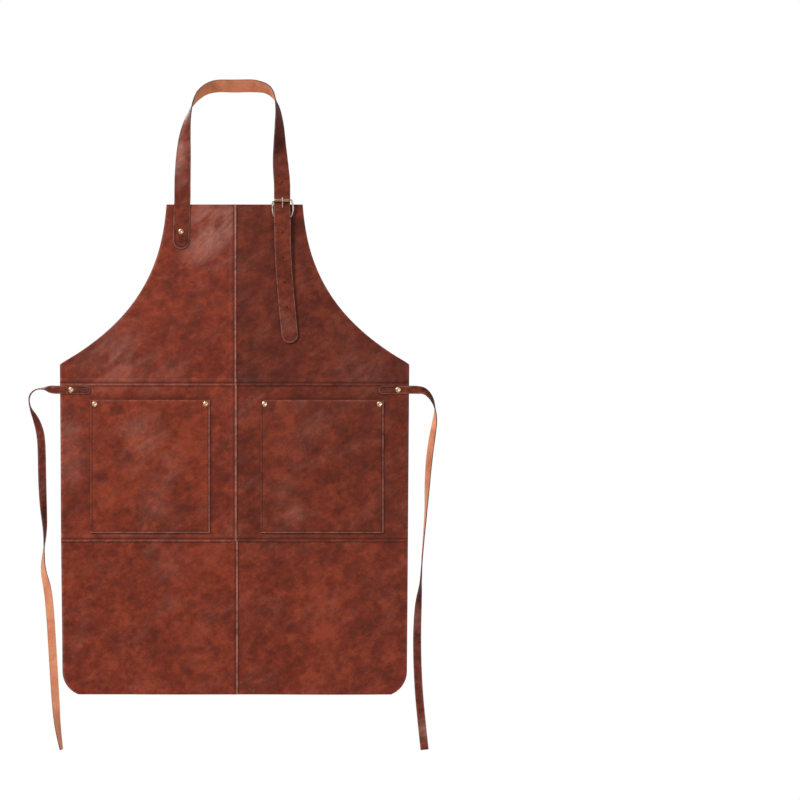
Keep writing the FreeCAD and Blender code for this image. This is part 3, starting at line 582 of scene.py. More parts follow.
def to_object(name, bm, finishes=()):
    mesh = bpy.data.meshes.new(name)
    bm.to_mesh(mesh)
    bm.free()
    for finish in finishes:
        mesh.materials.append(finish)
    obj = bpy.data.objects.new(name, mesh)
    bpy.context.scene.collection.objects.link(obj)
    return obj


def shade(mesh):
    """Smooth, but for the cut edges."""
    mesh.shade_smooth()
    mesh.set_sharp_from_angle(angle=math.radians(38))


def settle(obj):
    """Applies the modifiers."""
    mesh = mesh_of(obj)
    obj.modifiers.clear()
    obj.data = mesh
    shade(mesh)
    return obj


def thicken(obj, thickness):
    """Gives a sheet its thickness, to the back, and breaks its cut edges."""
    solid = obj.modifiers.new("thickness", "SOLIDIFY")
    solid.thickness = thickness
    solid.offset = -1
    solid.material_offset = 1
    solid.material_offset_rim = 2
    bevel = obj.modifiers.new("edges", "BEVEL")
    bevel.limit_method = "ANGLE"
    bevel.angle_limit = math.radians(55)
    bevel.width = 0.0004
    bevel.segments = 2
    return settle(obj)


def mark(bm, wear, groove):
    """Writes the two attributes that the grain side's finish reads."""
    pale_wear_and_highlight = bm.verts.layers.float.new("wear")
    groove_and_shade_layer = bm.verts.layers.float.new("groove")
    for v in bm.verts:
        v[pale_wear_and_highlight] = wear(v.co.x, v.co.z)
        v[groove_and_shade_layer] = groove(v.co.x, v.co.z)


def near(distance, reach=0.0022):
    return math.exp(-(distance / reach) ** 2)


# %% The six panels
pocket_box = {}
for side_name in ("left", "right"):
    low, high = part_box(f"pocket_{side_name}")
    pocket_box[side_name] = (low.x, high.x, low.z, high.z)


def painted_pocket_shadow(side, x, z):
    """Painted shadow above a pocket's mouth, and along its right and lower edges."""
    x0, x1, z0, z1 = pocket_box[side]
    if z > z1:
        return 0.45 * near(z - z1, 0.0055) if x0 < x < x1 else 0.0
    beside = near(x - x1, 0.0022) * 0.7 if z > z0 - 0.001 else 0.0
    below = near(z0 - z, 0.0022) * 0.7 if x0 < x < x1 + 0.001 else 0.0
    return max(beside, below)


KEEP = 0.020                    # the grid keeps its spacing this far from the centre seam


def panel(row, side):
    top, foot, seam = ROW_TOP[row], ROW_FOOT[row], SEAM[row]
    high = top if row == "bib" else top + LAP
    inner = seam if side == "left" else seam - LAP
    out = -1 if side == "left" else 1
    reach = WIDEST + (seam if side == "left" else LAP - seam)
    bm = blank(0, reach, foot, high)
    for d in LAP_ROWS if side == "left" else (LAP,):
        crease(bm, (d, 0, 0), (1, 0, 0))
    for d in LAP_ROWS if row != "skirt" else ():
        crease(bm, (0, 0, foot + d), (0, 0, 1))
    crease(bm, (0, 0, top - 0.0015 if row == "bib" else top), (0, 0, 1))
    if side == "left":
        notch(bm, lambda d, z: d < LAP + JOGGLE and z > top)
    else:
        notch(bm, lambda d, z: d < LAP and row != "skirt" and z < foot + LAP + JOGGLE)
    for v in bm.verts:
        d, z = v.co.x, v.co.z
        if d > KEEP:
            room_out = half_width(z) - out * inner
            d = KEEP + (d - KEEP) * (room_out - KEEP) / (reach - KEEP)
        v.co.x = inner + out * d
    if side == "left":
        bmesh.ops.reverse_faces(bm, faces=bm.faces)

    # Pale edges, partly wear and partly painted highlight: edges on the left are painted paler than
    # those on the right, as if lit from the left, and the raised margin beside the centre seam is a
    # painted highlight.
    def wear(x, z):
        pale_wear_and_highlight = near(half_width(z) - abs(x), 0.0025) * (0.4 if x < 0 else 0.1)
        if row != "skirt":
            pale_wear_and_highlight = max(pale_wear_and_highlight, near(z - foot - 0.0012, 0.0012) * (0.4 if x < 0 else 0.12))
        if side == "left":
            pale_wear_and_highlight = max(pale_wear_and_highlight, near(seam - x - 0.0014, 0.0013))
        return pale_wear_and_highlight

    # Painted shade in the stitch grooves, and painted shadow beside the pockets.
    def groove(x, z):
        line = valley(z - foot - STITCH_IN, 1.0) if row != "skirt" else 0.0
        if row == "waist":
            line = max(line, painted_pocket_shadow(side, x, z))
        return max(line, valley(seam - x - STITCH_IN, 1.0)) if side == "left" else line

    mark(bm, wear, groove)
    for v in bm.verts:
        v.co.y = panel_front(row, side, v.co.x, v.co.z)
    area = sum(f.calc_area() for f in bm.faces)
    name = f"{row}_{side}"
    # The right panels of the bib and waist take darker copies: painted shade.
    right_hides = {"bib": GRAIN_SHADED, "waist": GRAIN_RIGHT_SHADED, "skirt": GRAIN}
    hide = GRAIN if side == "left" else right_hides[row]
    piece = thicken(to_object(name, bm, (hide, FLESH, EDGE)), LEATHER)
    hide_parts(f"{row}_panel_{side}")
    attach(piece, "apron")
    hung_from = {"bib": ["neck_strap", "buckle_frame"], "waist": [f"bib_{side}"],
                 "skirt": [f"waist_{side}"]}[row]
    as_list(hung_from)
    print(name, "cut from", round(area, 4), "m2,", len(piece.data.polygons), "faces")


for row_name in ROW_FOOT:
    for side_name in ("left", "right"):
        panel(row_name, side_name)

# %% [markdown]
# ## Pockets
#
# A patch pocket is a second panel, sewn down on three sides. Its middle is cut a little full, so
# it stands away from the apron and opens at the mouth. The swell is a smooth hump across the
# pocket that dies out towards the bottom seam.

# %% Pockets
POCKET_LEATHER = 0.0016
POCKET_STITCH = 0.0026
POCKET_FULL = 0.0088            # how far the mouth stands off at its middle
FLAT = 0.012                    # the pocket stays flat this far in from its seams


def pocket_front(side, x, z):
    """The grain side's y on a pocket."""
    x0, x1, z0, z1 = pocket_box[side]
    u = min(max((x - x0 - FLAT) / (x1 - x0 - 2 * FLAT), 0.0), 1.0)
    v = min(max((z - z0 - FLAT) / (z1 - z0 - FLAT), 0.0), 1.0)
    hump = math.sin(math.pi * u) ** 0.9 if 0 < u < 1 else 0.0
    full = POCKET_FULL * smooth(hump) ** 0.8 * v ** 1.15
    sag = 0.0008 * math.sin(u * 9.0 + v * 5.0) * smooth(v * 2) * hump
    y = drape(x, z) - LEATHER - POCKET_LEATHER - full - sag
    seams = min(x - x0, x1 - x, z - z0)
    return y + valley(seams - POCKET_STITCH, 0.0004) - puff(seams, POCKET_STITCH, 0.0003)


def pocket(side):
    x0, x1, z0, z1 = pocket_box[side]
    bm = blank(x0, x1, z0, z1)
    for d in (0.0007, 0.0016, POCKET_STITCH, 0.0037, 0.0055):
        crease(bm, (x0 + d, 0, 0), (1, 0, 0))
        crease(bm, (x1 - d, 0, 0), (1, 0, 0))
        crease(bm, (0, 0, z0 + d), (0, 0, 1))
    crease(bm, (0, 0, z1 - 0.001), (0, 0, 1))

    # Painted highlight along the right and lower edges, as if lit from the upper left, and fainter
    # pale lines along the left edge and the mouth.
    def wear(x, z):
        lit = max(near(x1 - x - 0.001, 0.0011), near(z - z0 - 0.001, 0.0011))
        return max(lit * 0.6, near(x - x0 - 0.001, 0.0011) * 0.15, near(z1 - z, 0.0015) * 0.25)

    # Painted shade in the stitch groove.
    def groove(x, z):
        return valley(min(x - x0, x1 - x, z - z0) - POCKET_STITCH, 1.0)

    mark(bm, wear, groove)
    for v in bm.verts:
        v.co.y = pocket_front(side, v.co.x, v.co.z)
    area = sum(f.calc_area() for f in bm.faces)
    # The right pocket takes a darker copy: painted shade.
    hide = POCKET_RIGHT_SHADED if side == "right" else POCKET
    piece = thicken(to_object(f"pocket_patch_{side}", bm, (hide, FLESH, EDGE)), POCKET_LEATHER)
    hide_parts(f"pocket_{side}")
    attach(piece, "apron")
    print(piece.name, "cut from", round(area, 4), "m2,", len(piece.data.polygons), "faces")


for side_name in ("left", "right"):
    pocket(side_name)

# %% [markdown]
# ## Straps
#
# A strap is cut and punched flat, as on the bench, and then bent to its route. The blank is a grid
# along X with its grain side up: one end can be drawn in to a half round, the corners are broken
# with `bevel`, and a Boolean punches the holes. The route is a smooth curve led by a few control
# points, and each point also says which way the grain side faces, so the strap can twist.


# %% A route and the strap's frame along it
class Route:
    """A smooth curve, measured along its length, with the way the strap faces."""

    def __init__(self, name, control, folded=False):
        curve = bpy.data.curves.new(name, "CURVE")
        curve.dimensions = "3D"
        spline = curve.splines.new("NURBS")
        spline.points.add(len(control) - 1)
        for point, (place, _) in zip(spline.points, control):
            point.co = (*place, 1)
        spline.order_u = 3
        spline.use_endpoint_u = True
        spline.resolution_u = 16
        holder = bpy.data.objects.new(name, curve)
        line = bpy.data.meshes.new_from_object(holder)
        self.points = [v.co.copy() for v in line.vertices]
        bpy.data.objects.remove(holder)
        bpy.data.meshes.remove(line)
        self.lengths = [0.0]
        for a, b in zip(self.points, self.points[1:]):
            self.lengths.append(self.lengths[-1] + (b - a).length)
        self.length = self.lengths[-1]
        self.frames = []
        last = len(self.points) - 1
        for i in range(last + 1):
            along = (self.points[min(i + 1, last)] - self.points[max(i - 1, 0)]).normalized()
            if folded:
                normal = along.cross(Vector((1, 0, 0)))
            else:
                front = Vector((0, -1, 0)) - along * along.dot(Vector((0, -1, 0)))
                turn = self.facing(control, i / last * (len(control) - 2))
                normal = Quaternion(along, math.radians(turn)) @ front.normalized()
            self.frames.append((along, normal, normal.cross(along)))

    @staticmethod
    def facing(control, at):
        """The grain side's turn, between the places where each control point acts most."""
        places = [0.0] + [i - 0.5 for i in range(1, len(control) - 1)] + [len(control) - 2.0]
        for i in range(len(control) - 1):
            if at <= places[i + 1]:
                share = (at - places[i]) / (places[i + 1] - places[i])
                return control[i][1] + (control[i + 1][1] - control[i][1]) * share
        return control[-1][1]

    def at(self, s):
        """The point and the frame at a distance along the route."""
        s = min(max(s, 0.0), self.length)
        low, high = 0, len(self.lengths) - 1
        while high - low > 1:
            middle = (low + high) // 2
            low, high = (middle, high) if self.lengths[middle] <= s else (low, middle)
        share = (s - self.lengths[low]) / (self.lengths[high] - self.lengths[low])
        point = self.points[low].lerp(self.points[high], share)
        _, n0, s0 = self.frames[low]
        _, n1, s1 = self.frames[high]
        return point, n0.lerp(n1, share).normalized(), s0.lerp(s1, share).normalized()

    def where(self, z, after=0.0):
        """The distance along the route at which it crosses a height."""
        for i in range(len(self.points) - 1):
            a, b = self.points[i].z, self.points[i + 1].z
            if self.lengths[i] >= after and min(a, b) <= z <= max(a, b) and a != b:
                return self.lengths[i] + (z - a) / (b - a) * (
                    self.lengths[i + 1] - self.lengths[i])
        raise ValueError("the route doesn't cross that height")


# %% Holes
def punch(obj, holes, depth):
    """Cuts holes of (distance along, distance across, radius, stretch, awl) into a blank.

    An awl's hole narrows downwards, and its fibres close again at the flesh side.
    """
    bm = bmesh.new()
    for along, across, radius, stretch, awl in holes:
        ring = bmesh.ops.create_cone(
            bm, cap_ends=True, segments=20, radius1=radius * (0.65 if awl else 1),
            radius2=radius, depth=depth * 1.4)["verts"]
        bmesh.ops.scale(bm, verts=ring, vec=(stretch, 1, 1))
        bmesh.ops.translate(bm, verts=ring, vec=(along, across, depth * 0.3 if awl else 0))
    for face in bm.faces:
        face.material_index = 2
    cutter = to_object("punch", bm, obj.data.materials[:])
    cut = obj.modifiers.new("holes", "BOOLEAN")
    cut.solver = "EXACT"
    cut.object = cutter
    mesh = mesh_of(obj)
    obj.modifiers.clear()
    obj.data = mesh
    bpy.data.objects.remove(cutter)


# %% A flat strap
def cut_strap(name, long, width, thickness, finishes, round_start, round_end, joined, cell, rows):
    """A strap along X with its grain side up."""
    bm = bmesh.new()
    bmesh.ops.create_grid(bm, x_segments=max(2, round(long / cell)), y_segments=rows, size=0.5)
    bmesh.ops.scale(bm, verts=bm.verts, vec=(long, 1, 1))
    bmesh.ops.translate(bm, verts=bm.verts, vec=(long / 2, 0, 0))
    half = width / 2
    for v in bm.verts:
        v.co.y = half * math.sin(v.co.y * math.pi * 0.94) / math.sin(math.pi * 0.47)
        short = half - math.sqrt(max(half ** 2 - v.co.y ** 2, 0.0))
        if round_start and v.co.x < half:
            v.co.x = short + v.co.x * (half - short) / half
        if round_end and v.co.x > long - half:
            v.co.x = long - short - (long - v.co.x) * (half - short) / half
    bmesh.ops.remove_doubles(bm, verts=bm.verts, dist=1e-5)
    bmesh.ops.solidify(bm, geom=bm.faces, thickness=thickness)
    bmesh.ops.recalc_face_normals(bm, faces=bm.faces)
    middle = sum(v.co.z for v in bm.verts) / len(bm.verts)
    bmesh.ops.translate(bm, verts=bm.verts, vec=(0, 0, -middle))
    for face in bm.faces:
        up = face.normal.z
        face.material_index = 0 if up > 0.5 else 1 if up < -0.5 else 2
    cuts = [0.0 if place == "start" else long for place in joined]
    sharp = [e for e in bm.edges if e.calc_face_angle() > math.radians(55)
             and not any(all(abs(v.co.x - cut) < 1e-5 for v in e.verts) for cut in cuts)]
    bmesh.ops.bevel(bm, geom=sharp, affect="EDGES", offset=0.00045, segments=2, profile=0.5,
                    material=-1)
    return to_object(name, bm, finishes)


# %% The strap bent to its route
CROWN = 0.0003                  # the middle of a strap stands this much above its edges
GROOVE = 0.00022                # depth of its creased line and of its line of stitches
CREASE_IN = 0.0016              # the creased line, in from the edge


def strap(name, route, width, thickness, finishes, round_start=False, round_end=False,
          joined=(), holes=(), groove=None, crease_in=CREASE_IN, cell=0.003, rows=14):
    """Cuts a strap as long as a route, punches it and bends it there.

    joined names the ends, "start" or "end", at which the strap goes on as another piece.
    """
    long, half = route.length, width / 2
    obj = cut_strap(name, long, width, thickness, finishes, round_start, round_end, joined, cell,
                    rows)
    if holes:
        punch(obj, holes, thickness)
    bm = bmesh.new()
    bm.from_mesh(obj.data)
    pale_wear_and_highlight = bm.verts.layers.float.new("wear")
    groove_and_shade_layer = bm.verts.layers.float.new("groove")
    for v in bm.verts:
        s, across, up = v.co
        inset = half - abs(across)
        if round_end and long - s < half:
            inset = min(inset, half - math.hypot(across, half - long + s))
        if round_start and s < half:
            inset = min(inset, half - math.hypot(across, half - s))
        # Pale edges, partly wear and partly painted highlight. The creased line and the sewn line
        # are painted shade, and also sink a little.
        v[pale_wear_and_highlight] = near(inset, 0.0013) * 0.55
        line = math.exp(-((inset - crease_in) / 0.0005) ** 2) * 0.5
        v[groove_and_shade_layer] = max(line, groove(s, inset) if groove else 0.0)
        if up > 0:
            up += CROWN * (1 - (across / half) ** 2) - GROOVE * v[groove_and_shade_layer]
        point, normal, side = route.at(s)
        v.co = point + normal * up + side * across
    bm.to_mesh(obj.data)
    bm.free()
    shade(obj.data)
    print(name, round(long, 3), "m long,", len(obj.data.polygons), "faces")
    return obj


# %% [markdown]
# ## The neck strap and its chape
#
# One length of strap is sewn to the left of the bib, climbs, twists so that its flesh side shows
# over the neck, and comes down behind the roller of the buckle. There it bends forwards over the
# chape, and its tail hangs down the bib. It is made in two pieces that meet behind the roller,
# because the tail lifts on its own. The chape is a short strap folded round the buckle's heel bar.

# %% Measures of the strap
STRAP_WIDE = 0.026
STRAP_THICK = 0.002
FOLD_Y = -0.004                 # the loop's legs hang here
LEFT = 0.0234 - TOP_HALF        # middle of the sewn end
CHAPE = TOP_HALF - 0.032        # and of the chape
SEWN_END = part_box("neck_strap_left_end")[0].z
RIVET_Z = sum(p.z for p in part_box("neck_strap_rivet_cap")) / 2
STITCH_TOP = RIVET_Z + 0.0045
FOLD = BIB_TOP + 0.0196         # a height on the legs, just above the bib
HEEL = BIB_TOP - 0.0194         # the buckle's heel bar
roller_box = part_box("buckle_roller")
ROLL = (roller_box[0] + roller_box[1]) / 2
ROLL_R = (roller_box[1].z - roller_box[0].z) / 2
ON_BIB = -LEATHER - STRAP_THICK / 2
BEHIND = ROLL.y + ROLL_R + 0.0006 + STRAP_THICK / 2
TAIL_Y = -0.0099                # the tail passes in front of the chape

# %% Its route: left end, loop and right leg, then the tail
neck_route = Route("neck_route", (
    ((LEFT, ON_BIB, SEWN_END), 0), ((LEFT + 0.0004, ON_BIB, RIVET_Z), 0),
    ((LEFT + 0.0016, ON_BIB, BIB_TOP - 0.0064), 0), ((LEFT + 0.0024, FOLD_Y, BIB_TOP + 0.0096), 0),
    ((LEFT + 0.0024, FOLD_Y, 0.88 * FOLD), -6), ((LEFT + 0.0038, FOLD_Y, 0.66 * FOLD), -24),
    ((LEFT + 0.0061, -0.0035, 0.45 * FOLD), -48), ((-0.0725, -0.0025, -0.040), -78),
    ((-0.0575, -0.001, -0.012), -112), ((-0.034, 0, 0.0008), -132), ((0, 0, -0.0004), -136),
    ((0.033, 0, 0.0008), -134), ((0.056, -0.001, -0.005), -116),
    ((0.0685, -0.0025, -0.027), -84), ((0.0718, -0.0035, -0.060), -62),
    ((CHAPE - 0.0048, FOLD_Y, 0.56 * FOLD), -44), ((CHAPE - 0.0034, FOLD_Y, 0.75 * FOLD), -20),
    ((CHAPE - 0.0009, FOLD_Y, 0.91 * FOLD), 0), ((CHAPE - 0.0009, FOLD_Y, FOLD), 0),
    ((CHAPE - 0.0009, FOLD_Y, (FOLD + ROLL.z) / 2), 0),
    ((CHAPE - 0.0009, BEHIND, ROLL.z), 0),
))
tail_route = Route("tail_route", (
    ((CHAPE - 0.0009, BEHIND, ROLL.z), 0),
    ((CHAPE - 0.0009, (BEHIND + TAIL_Y) / 2 + 0.0002, ROLL.z - 0.007), 0),
    ((CHAPE - 0.0007, TAIL_Y, HEEL + 0.011), 0), ((CHAPE - 0.0004, TAIL_Y, HEEL), 0),
    ((CHAPE, TAIL_Y + 0.0005, HEEL - 0.019), 0), ((CHAPE + 0.0002, -0.0086, HEEL - 0.049), 0),
    ((CHAPE + 0.0024, -0.0066, HEEL - 0.091), 0), ((CHAPE + 0.0065, -0.0046, HEEL - 0.141), 0),
    ((CHAPE + 0.0125, -0.0033, HEEL - 0.202), 0),
))
print("neck strap", round(neck_route.length + tail_route.length, 3), "m in all")

# %% Cut the neck strap and its tail
STITCHED = 0.003                # the stitches, in from the edge


def sewn_line(route, top):
    """The groove of the U of stitches at a strap's sewn end, and its painted shade."""
    reach = route.where(top)

    def groove(s, inset):
        return math.exp(-((inset - STITCHED) / 0.0008) ** 2) if s < reach else 0.0
    return groove


leather = (STRAP, STRAP_FLESH, EDGE)
SPARE = 0.0015                  # radius of a spare hole
USED = 0.0019                   # and of the one that the prong fills
HOLE_PITCH = 0.040
last_leg = neck_route.length * 0.6
neck = strap("neck_strap", neck_route, STRAP_WIDE, STRAP_THICK, leather, round_start=True,
             joined=("end",), holes=[(neck_route.where(0.91 * FOLD, last_leg), 0, SPARE, 1, True)],
             groove=sewn_line(neck_route, STITCH_TOP))
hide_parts("neck_strap_loop", "neck_strap_left_end", "neck_strap_to_roller")
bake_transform(neck)

used = tail_route.where(-0.1949)
tail = strap("strap_tail", tail_route, STRAP_WIDE, STRAP_THICK, leather, round_end=True,
             joined=("start",), holes=[(used, 0.0009, USED, 1.55, False)]
             + [(used + HOLE_PITCH * k, 0, SPARE, 1, True) for k in range(1, 5)])
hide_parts("neck_strap_tail")
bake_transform(tail)

# %% The chape, folded round the heel bar
CHAPE_WIDE = 0.023
CHAPE_THICK = 0.0016
heel_y = -LEATHER - 0.00325     # middle of the heel bar
turn_r = 0.00165 + CHAPE_THICK / 2
back_y = -LEATHER - CHAPE_THICK / 2
front_y = -LEATHER - CHAPE_THICK * 1.5
chape_route = Route("chape_route", (
    ((CHAPE, back_y, SEWN_END), 180), ((CHAPE, back_y, RIVET_Z), 180),
    ((CHAPE, back_y, HEEL - 0.008), 180), ((CHAPE, heel_y + turn_r, HEEL - 0.0015), 180),
    ((CHAPE, heel_y + turn_r, HEEL + turn_r), 180), ((CHAPE, heel_y - turn_r, HEEL + turn_r), 180),
    ((CHAPE, heel_y - turn_r, HEEL - 0.0015), 0), ((CHAPE, front_y, HEEL - 0.008), 0),
    ((CHAPE, front_y, RIVET_Z), 0), ((CHAPE, front_y, SEWN_END), 0),
), folded=True)
chape = strap("chape_strip", chape_route, CHAPE_WIDE, CHAPE_THICK, leather, round_start=True,
              round_end=True, holes=[(chape_route.length / 2, 0, 0.002, 3.2, False)], cell=0.0015,
              groove=sewn_line(chape_route, STITCH_TOP))
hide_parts("buckle_chape")
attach(chape, "apron")

# %% [markdown]
# ## Ties
#
# Each tie is a narrow strip. Its tab is sewn and riveted on the panel, and from the panel's side
# it hangs free. Leather this narrow keeps the curl of the hide it was cut from, so it sticks out a
# little, then turns down and twists as it falls.

# %% Routes of the ties
TIE_WIDE = 0.013
TIE_THICK = 0.0018
TIE_TAB = 0.049
tie_boxes = {side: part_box(f"tie_{side}_tab") for side in ("left", "right")}
TIE_Z = (tie_boxes["left"][0].z + tie_boxes["left"][1].z) / 2
TIE_Y = -LEATHER - TIE_THICK / 2
TIE_X = half_width(TIE_Z) + 0.003

# Each point is (out from the side, y, down from the tab) and the way the grain side faces.
TIE_WAYS = {
    "left": (
        ((0, TIE_Y, 0), 0), ((0.009, TIE_Y, 0), 12), ((0.0218, -0.0032, -0.0026), 78),
        ((0.0368, -0.0032, -0.001), 90), ((0.0473, -0.002, 0.010), 90),
        ((0.0453, -0.001, 0.029), 80), ((0.0353, 0, 0.047), 42), ((0.0278, 0.001, 0.072), 8),
        ((0.0264, 0.002, 0.104), -4), ((0.026, 0.003, 0.144), -14), ((0.0242, 0.003, 0.186), -40),
        ((0.0208, 0.002, 0.226), -72), ((0.0234, 0.001, 0.258), -100), ((0.0248, 0, 0.288), -130),
        ((0.0168, 0, 0.318), -165), ((0.0128, 0.0005, 0.360), -178), ((0.0098, 0, 0.408), -182),
        ((0.0068, -0.001, 0.456), -190), ((0.0038, -0.001, 0.504), -206),
        ((0.0008, 0, 0.544), -236), ((-0.0052, 0, 0.576), -256),
    ),
    "right": (
        ((0, TIE_Y, 0), 0), ((0.008, TIE_Y, 0), -8), ((0.0218, -0.003, 0.001), -42),
        ((0.0333, -0.0024, 0.013), -66), ((0.0393, -0.001, 0.031), -92),
        ((0.0383, 0, 0.051), -122), ((0.0333, 0.001, 0.080), -138), ((0.029, 0.002, 0.112), -138),
        ((0.026, 0.002, 0.152), -126), ((0.0242, 0.001, 0.192), -104), ((0.0208, 0, 0.232), -96),
        ((0.0174, -0.001, 0.272), -92), ((0.0158, -0.001, 0.310), -80), ((0.0114, 0, 0.344), -38),
        ((0.0096, 0.001, 0.392), -12), ((0.0102, 0.002, 0.440), -8), ((0.0128, 0.002, 0.488), -4),
        ((0.0174, 0.001, 0.536), 0), ((0.0218, 0, 0.576), 6),
    ),
}

# %% Cut the ties
TIE_STITCHED = 0.0022
TIE_CREASE_IN = 0.001
TIE_SEWN = TIE_TAB - 0.0175     # the stitches stop short of the rivet


def tie(side):
    sign = -1 if side == "left" else 1
    inner = sign * (half_width(TIE_Z) - TIE_TAB)
    edge = sign * TIE_X
    tab_route = Route(f"tab_{side}", [((x, TIE_Y, TIE_Z), 0) for x in (
        inner, (2 * inner + edge) / 3, (inner + 2 * edge) / 3, edge)])

    # Painted shade in the groove of the tab's stitches.
    def groove(s, inset):
        return math.exp(-((inset - TIE_STITCHED) / 0.0008) ** 2) if s < TIE_SEWN else 0.0

    tab = strap(f"tie_tab_{side}", tab_route, TIE_WIDE, TIE_THICK, (TIE, TIE_FLESH, EDGE),
                round_start=True, joined=("end",), groove=groove, crease_in=TIE_CREASE_IN, rows=8)
    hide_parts(f"tie_{side}_tab")
    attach(tab, "apron")

    route = Route(f"tie_route_{side}", [
        ((sign * (TIE_X + x), y, TIE_Z - down), face)
        for (x, y, down), face in TIE_WAYS[side]])
    free = strap(f"free_tie_{side}", route, TIE_WIDE, TIE_THICK, (TIE, TIE_FLESH, EDGE),
                 joined=("start",), crease_in=TIE_CREASE_IN, rows=8)
    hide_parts(f"tie_{side}")
    sign * (TIE_X - 0.001)
    sign * (TIE_X + 0.006)
    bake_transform(free)
    sign * TIE_X
    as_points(route.points)


for side_name in ("left", "right"):
    tie(side_name)

# %% [markdown]
# ## Stitches
#
# Every seam is saddle-stitched with one thread and two needles, so each stitch shows on both faces
# and leans a little. A stitch is a small capsule. It lies in the groove, half sunk, and its ends
# go into the leather.


# %% One stitch
PITCH = 0.0034
THREAD_R = 0.0004
bm = bmesh.new()
bmesh.ops.create_uvsphere(bm, u_segments=6, v_segments=5, radius=1)
bmesh.ops.scale(bm, verts=bm.verts, vec=(THREAD_R, THREAD_R, PITCH * 0.39))
STITCH = bpy.data.meshes.new("stitch")
bm.to_mesh(STITCH)
bm.free()
print("a stitch has", len(STITCH.polygons), "faces")


# %% A line of stitches
def add_stitch(bm, place, heading):
    """Adds one stitch that lies at a place and points along a heading."""
    before = len(bm.verts)
    bm.from_mesh(STITCH)
    bm.verts.ensure_lookup_table()
    turned = heading.to_track_quat("Z", "Y")
    for v in bm.verts[before:]:
        v.co = turned @ v.co + place


def stitch_line(name, node, lines, front, back):
    """Sews along lines of (x, z) points. front and back give the leather's y at a place."""
    bm = bmesh.new()
    made = 0
    for line in lines:
        points = [Vector((x, 0, z)) for x, z in line]
        total = sum((b - a).length for a, b in zip(points, points[1:]))
        count = max(1, round(total / PITCH))
        for k in range(count):
            ahead = (k + 0.5) * total / count
            for a, b in zip(points, points[1:]):
                run = (b - a).length
                if ahead <= run:
                    break
                ahead -= run
            here = a.lerp(b, min(ahead / run, 1.0))
            along = (b - a).normalized()
            step = along * 0.001
            for surface, turn, sink in ((front, 9, -0.0001), (back, -9, 0.0001)):
                lean = Matrix.Rotation(math.radians(turn + 3 * math.sin(made * 1.7)), 3, "Y")
                slope = (surface(here.x + step.x, here.z + step.z)
                         - surface(here.x - step.x, here.z - step.z)) / 0.002
                heading = (lean @ along + Vector((0, slope, 0))).normalized()
                place = Vector((here.x, surface(here.x, here.z) + sink, here.z))
                add_stitch(bm, place, heading)
            made += 1
    obj = to_object(name, bm, (THREAD,))
    obj.data.shade_smooth()
    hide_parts(node)
    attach(obj, "apron")
    print(name, made, "stitches")


# %% Seams
def on_back(x, z):
    return drape(x, z) - 0.00005


def lap_front(row):
    def surface(x, z):
        return panel_front(row, "left" if x < SEAM[row] else "right", x, z)
    return surface


for row_name in ROW_FOOT:
    x = SEAM[row_name] - STITCH_IN
    foot = ROW_FOOT[row_name] + (0.002 if row_name == "skirt" else 0.0058)
    top = ROW_TOP[row_name] - (0.0025 if row_name == "bib" else 0.001)
    stitch_line(f"{row_name}_centre_stitches", f"{row_name}_centre_seam_thread",
                [[(x, top), (x, foot)]], lap_front(row_name), on_back)
for upper, lower in (("bib", "waist"), ("waist", "skirt")):
    z = ROW_FOOT[upper] + STITCH_IN
    reach = half_width(z) - 0.0022
    stitch_line(f"{lower}_cross_stitches", f"{lower}_cross_seam_thread",
                [[(-reach, z), (reach, z)]], lap_front(upper), on_back)

# %% Pockets
for side_name in ("left", "right"):
    x0, x1, z0, z1 = pocket_box[side_name]
    x0, x1, z0 = x0 + POCKET_STITCH, x1 - POCKET_STITCH, z0 + POCKET_STITCH
    top = z1 - 0.0125
    stitch_line(f"pocket_stitches_{side_name}", f"pocket_{side_name}_thread",
                [[(x0, top), (x0, z0), (x1, z0), (x1, top)]],
                lambda x, z, s=side_name: pocket_front(s, x, z), on_back)


# %% Strap ends and tabs
def u_line(x, top, foot, width, inset):
    """Round the end of a strap that points down, and across at the top."""
    half = width / 2 - inset
    turn = foot + width / 2
    arc = [(x - half * math.cos(a), turn - half * math.sin(a))
           for a in (math.pi * k / 12 for k in range(13))]
    return [(x - half, top), *arc, (x + half, top)]


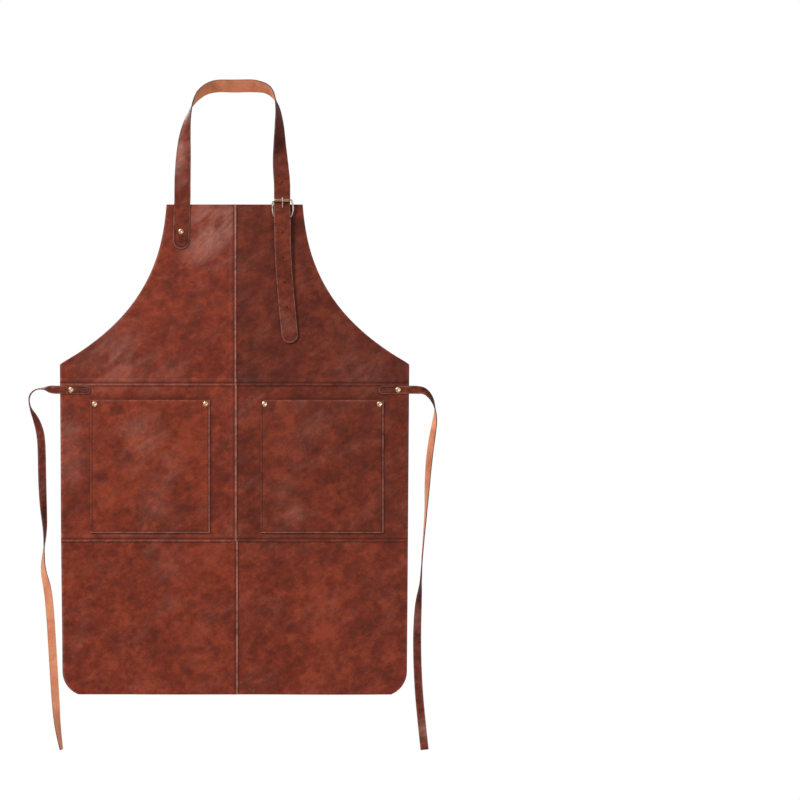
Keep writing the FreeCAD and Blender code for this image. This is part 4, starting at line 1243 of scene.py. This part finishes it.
def crowned(thickness, width, x=None, z=None):
    """The front of a strap on the apron, about its middle line at x or at z."""
    def surface(here_x, here_z):
        off = here_x - x if z is None else here_z - z
        return -LEATHER - thickness - CROWN * (1 - (off * 2 / width) ** 2) + GROOVE
    return surface


stitch_line("neck_strap_stitches", "neck_strap_thread",
            [u_line(LEFT, STITCH_TOP, SEWN_END, STRAP_WIDE, STITCHED)],
            crowned(STRAP_THICK, STRAP_WIDE, x=LEFT), on_back)
stitch_line("chape_stitches", "chape_thread",
            [u_line(CHAPE, STITCH_TOP, SEWN_END, CHAPE_WIDE, STITCHED)],
            crowned(2 * CHAPE_THICK, CHAPE_WIDE, x=CHAPE), on_back)
for side_name, sign in (("left", -1), ("right", 1)):
    inner = half_width(TIE_Z) - TIE_TAB
    outer = half_width(TIE_Z) - 0.0235
    half = TIE_WIDE / 2 - TIE_STITCHED
    middle = inner + TIE_WIDE / 2
    bend = [(sign * (middle - half * math.sin(a)), TIE_Z + half * math.cos(a))
            for a in (math.pi * k / 8 for k in range(9))]
    stitch_line(f"tie_stitches_{side_name}", f"tie_{side_name}_thread",
                [[(sign * outer, TIE_Z + half), *bend, (sign * outer, TIE_Z - half)]],
                crowned(TIE_THICK, TIE_WIDE, z=TIE_Z), on_back)

# %% [markdown]
# ## Floor and finish
#
# The floor is a square of pale paper. It fades out before its edges, so no corner of it shows
# against the white room.

# %% Floor
FLOOR_HALF = 1.6
FLOOR_MIDDLE = (0, 0.2, -1.32)
bm = bmesh.new()
bmesh.ops.create_grid(bm, x_segments=1, y_segments=1, size=FLOOR_HALF)
bmesh.ops.translate(bm, verts=bm.verts, vec=FLOOR_MIDDLE)
paper = Finish("pale_floor")
out_from_middle = paper.node("ShaderNodeVectorMath", {"operation": "DISTANCE"},
                             {0: paper.coordinates, 1: FLOOR_MIDDLE}, "Value")
fade = paper.ramp(out_from_middle * (1 / FLOOR_HALF), (0.15, 1.0), (0.95, 0.0))
floor = to_object("floor", bm, (
    paper.surface(Base_Color=(0.92, 0.92, 0.91), Roughness=0.9, Alpha=fade),))
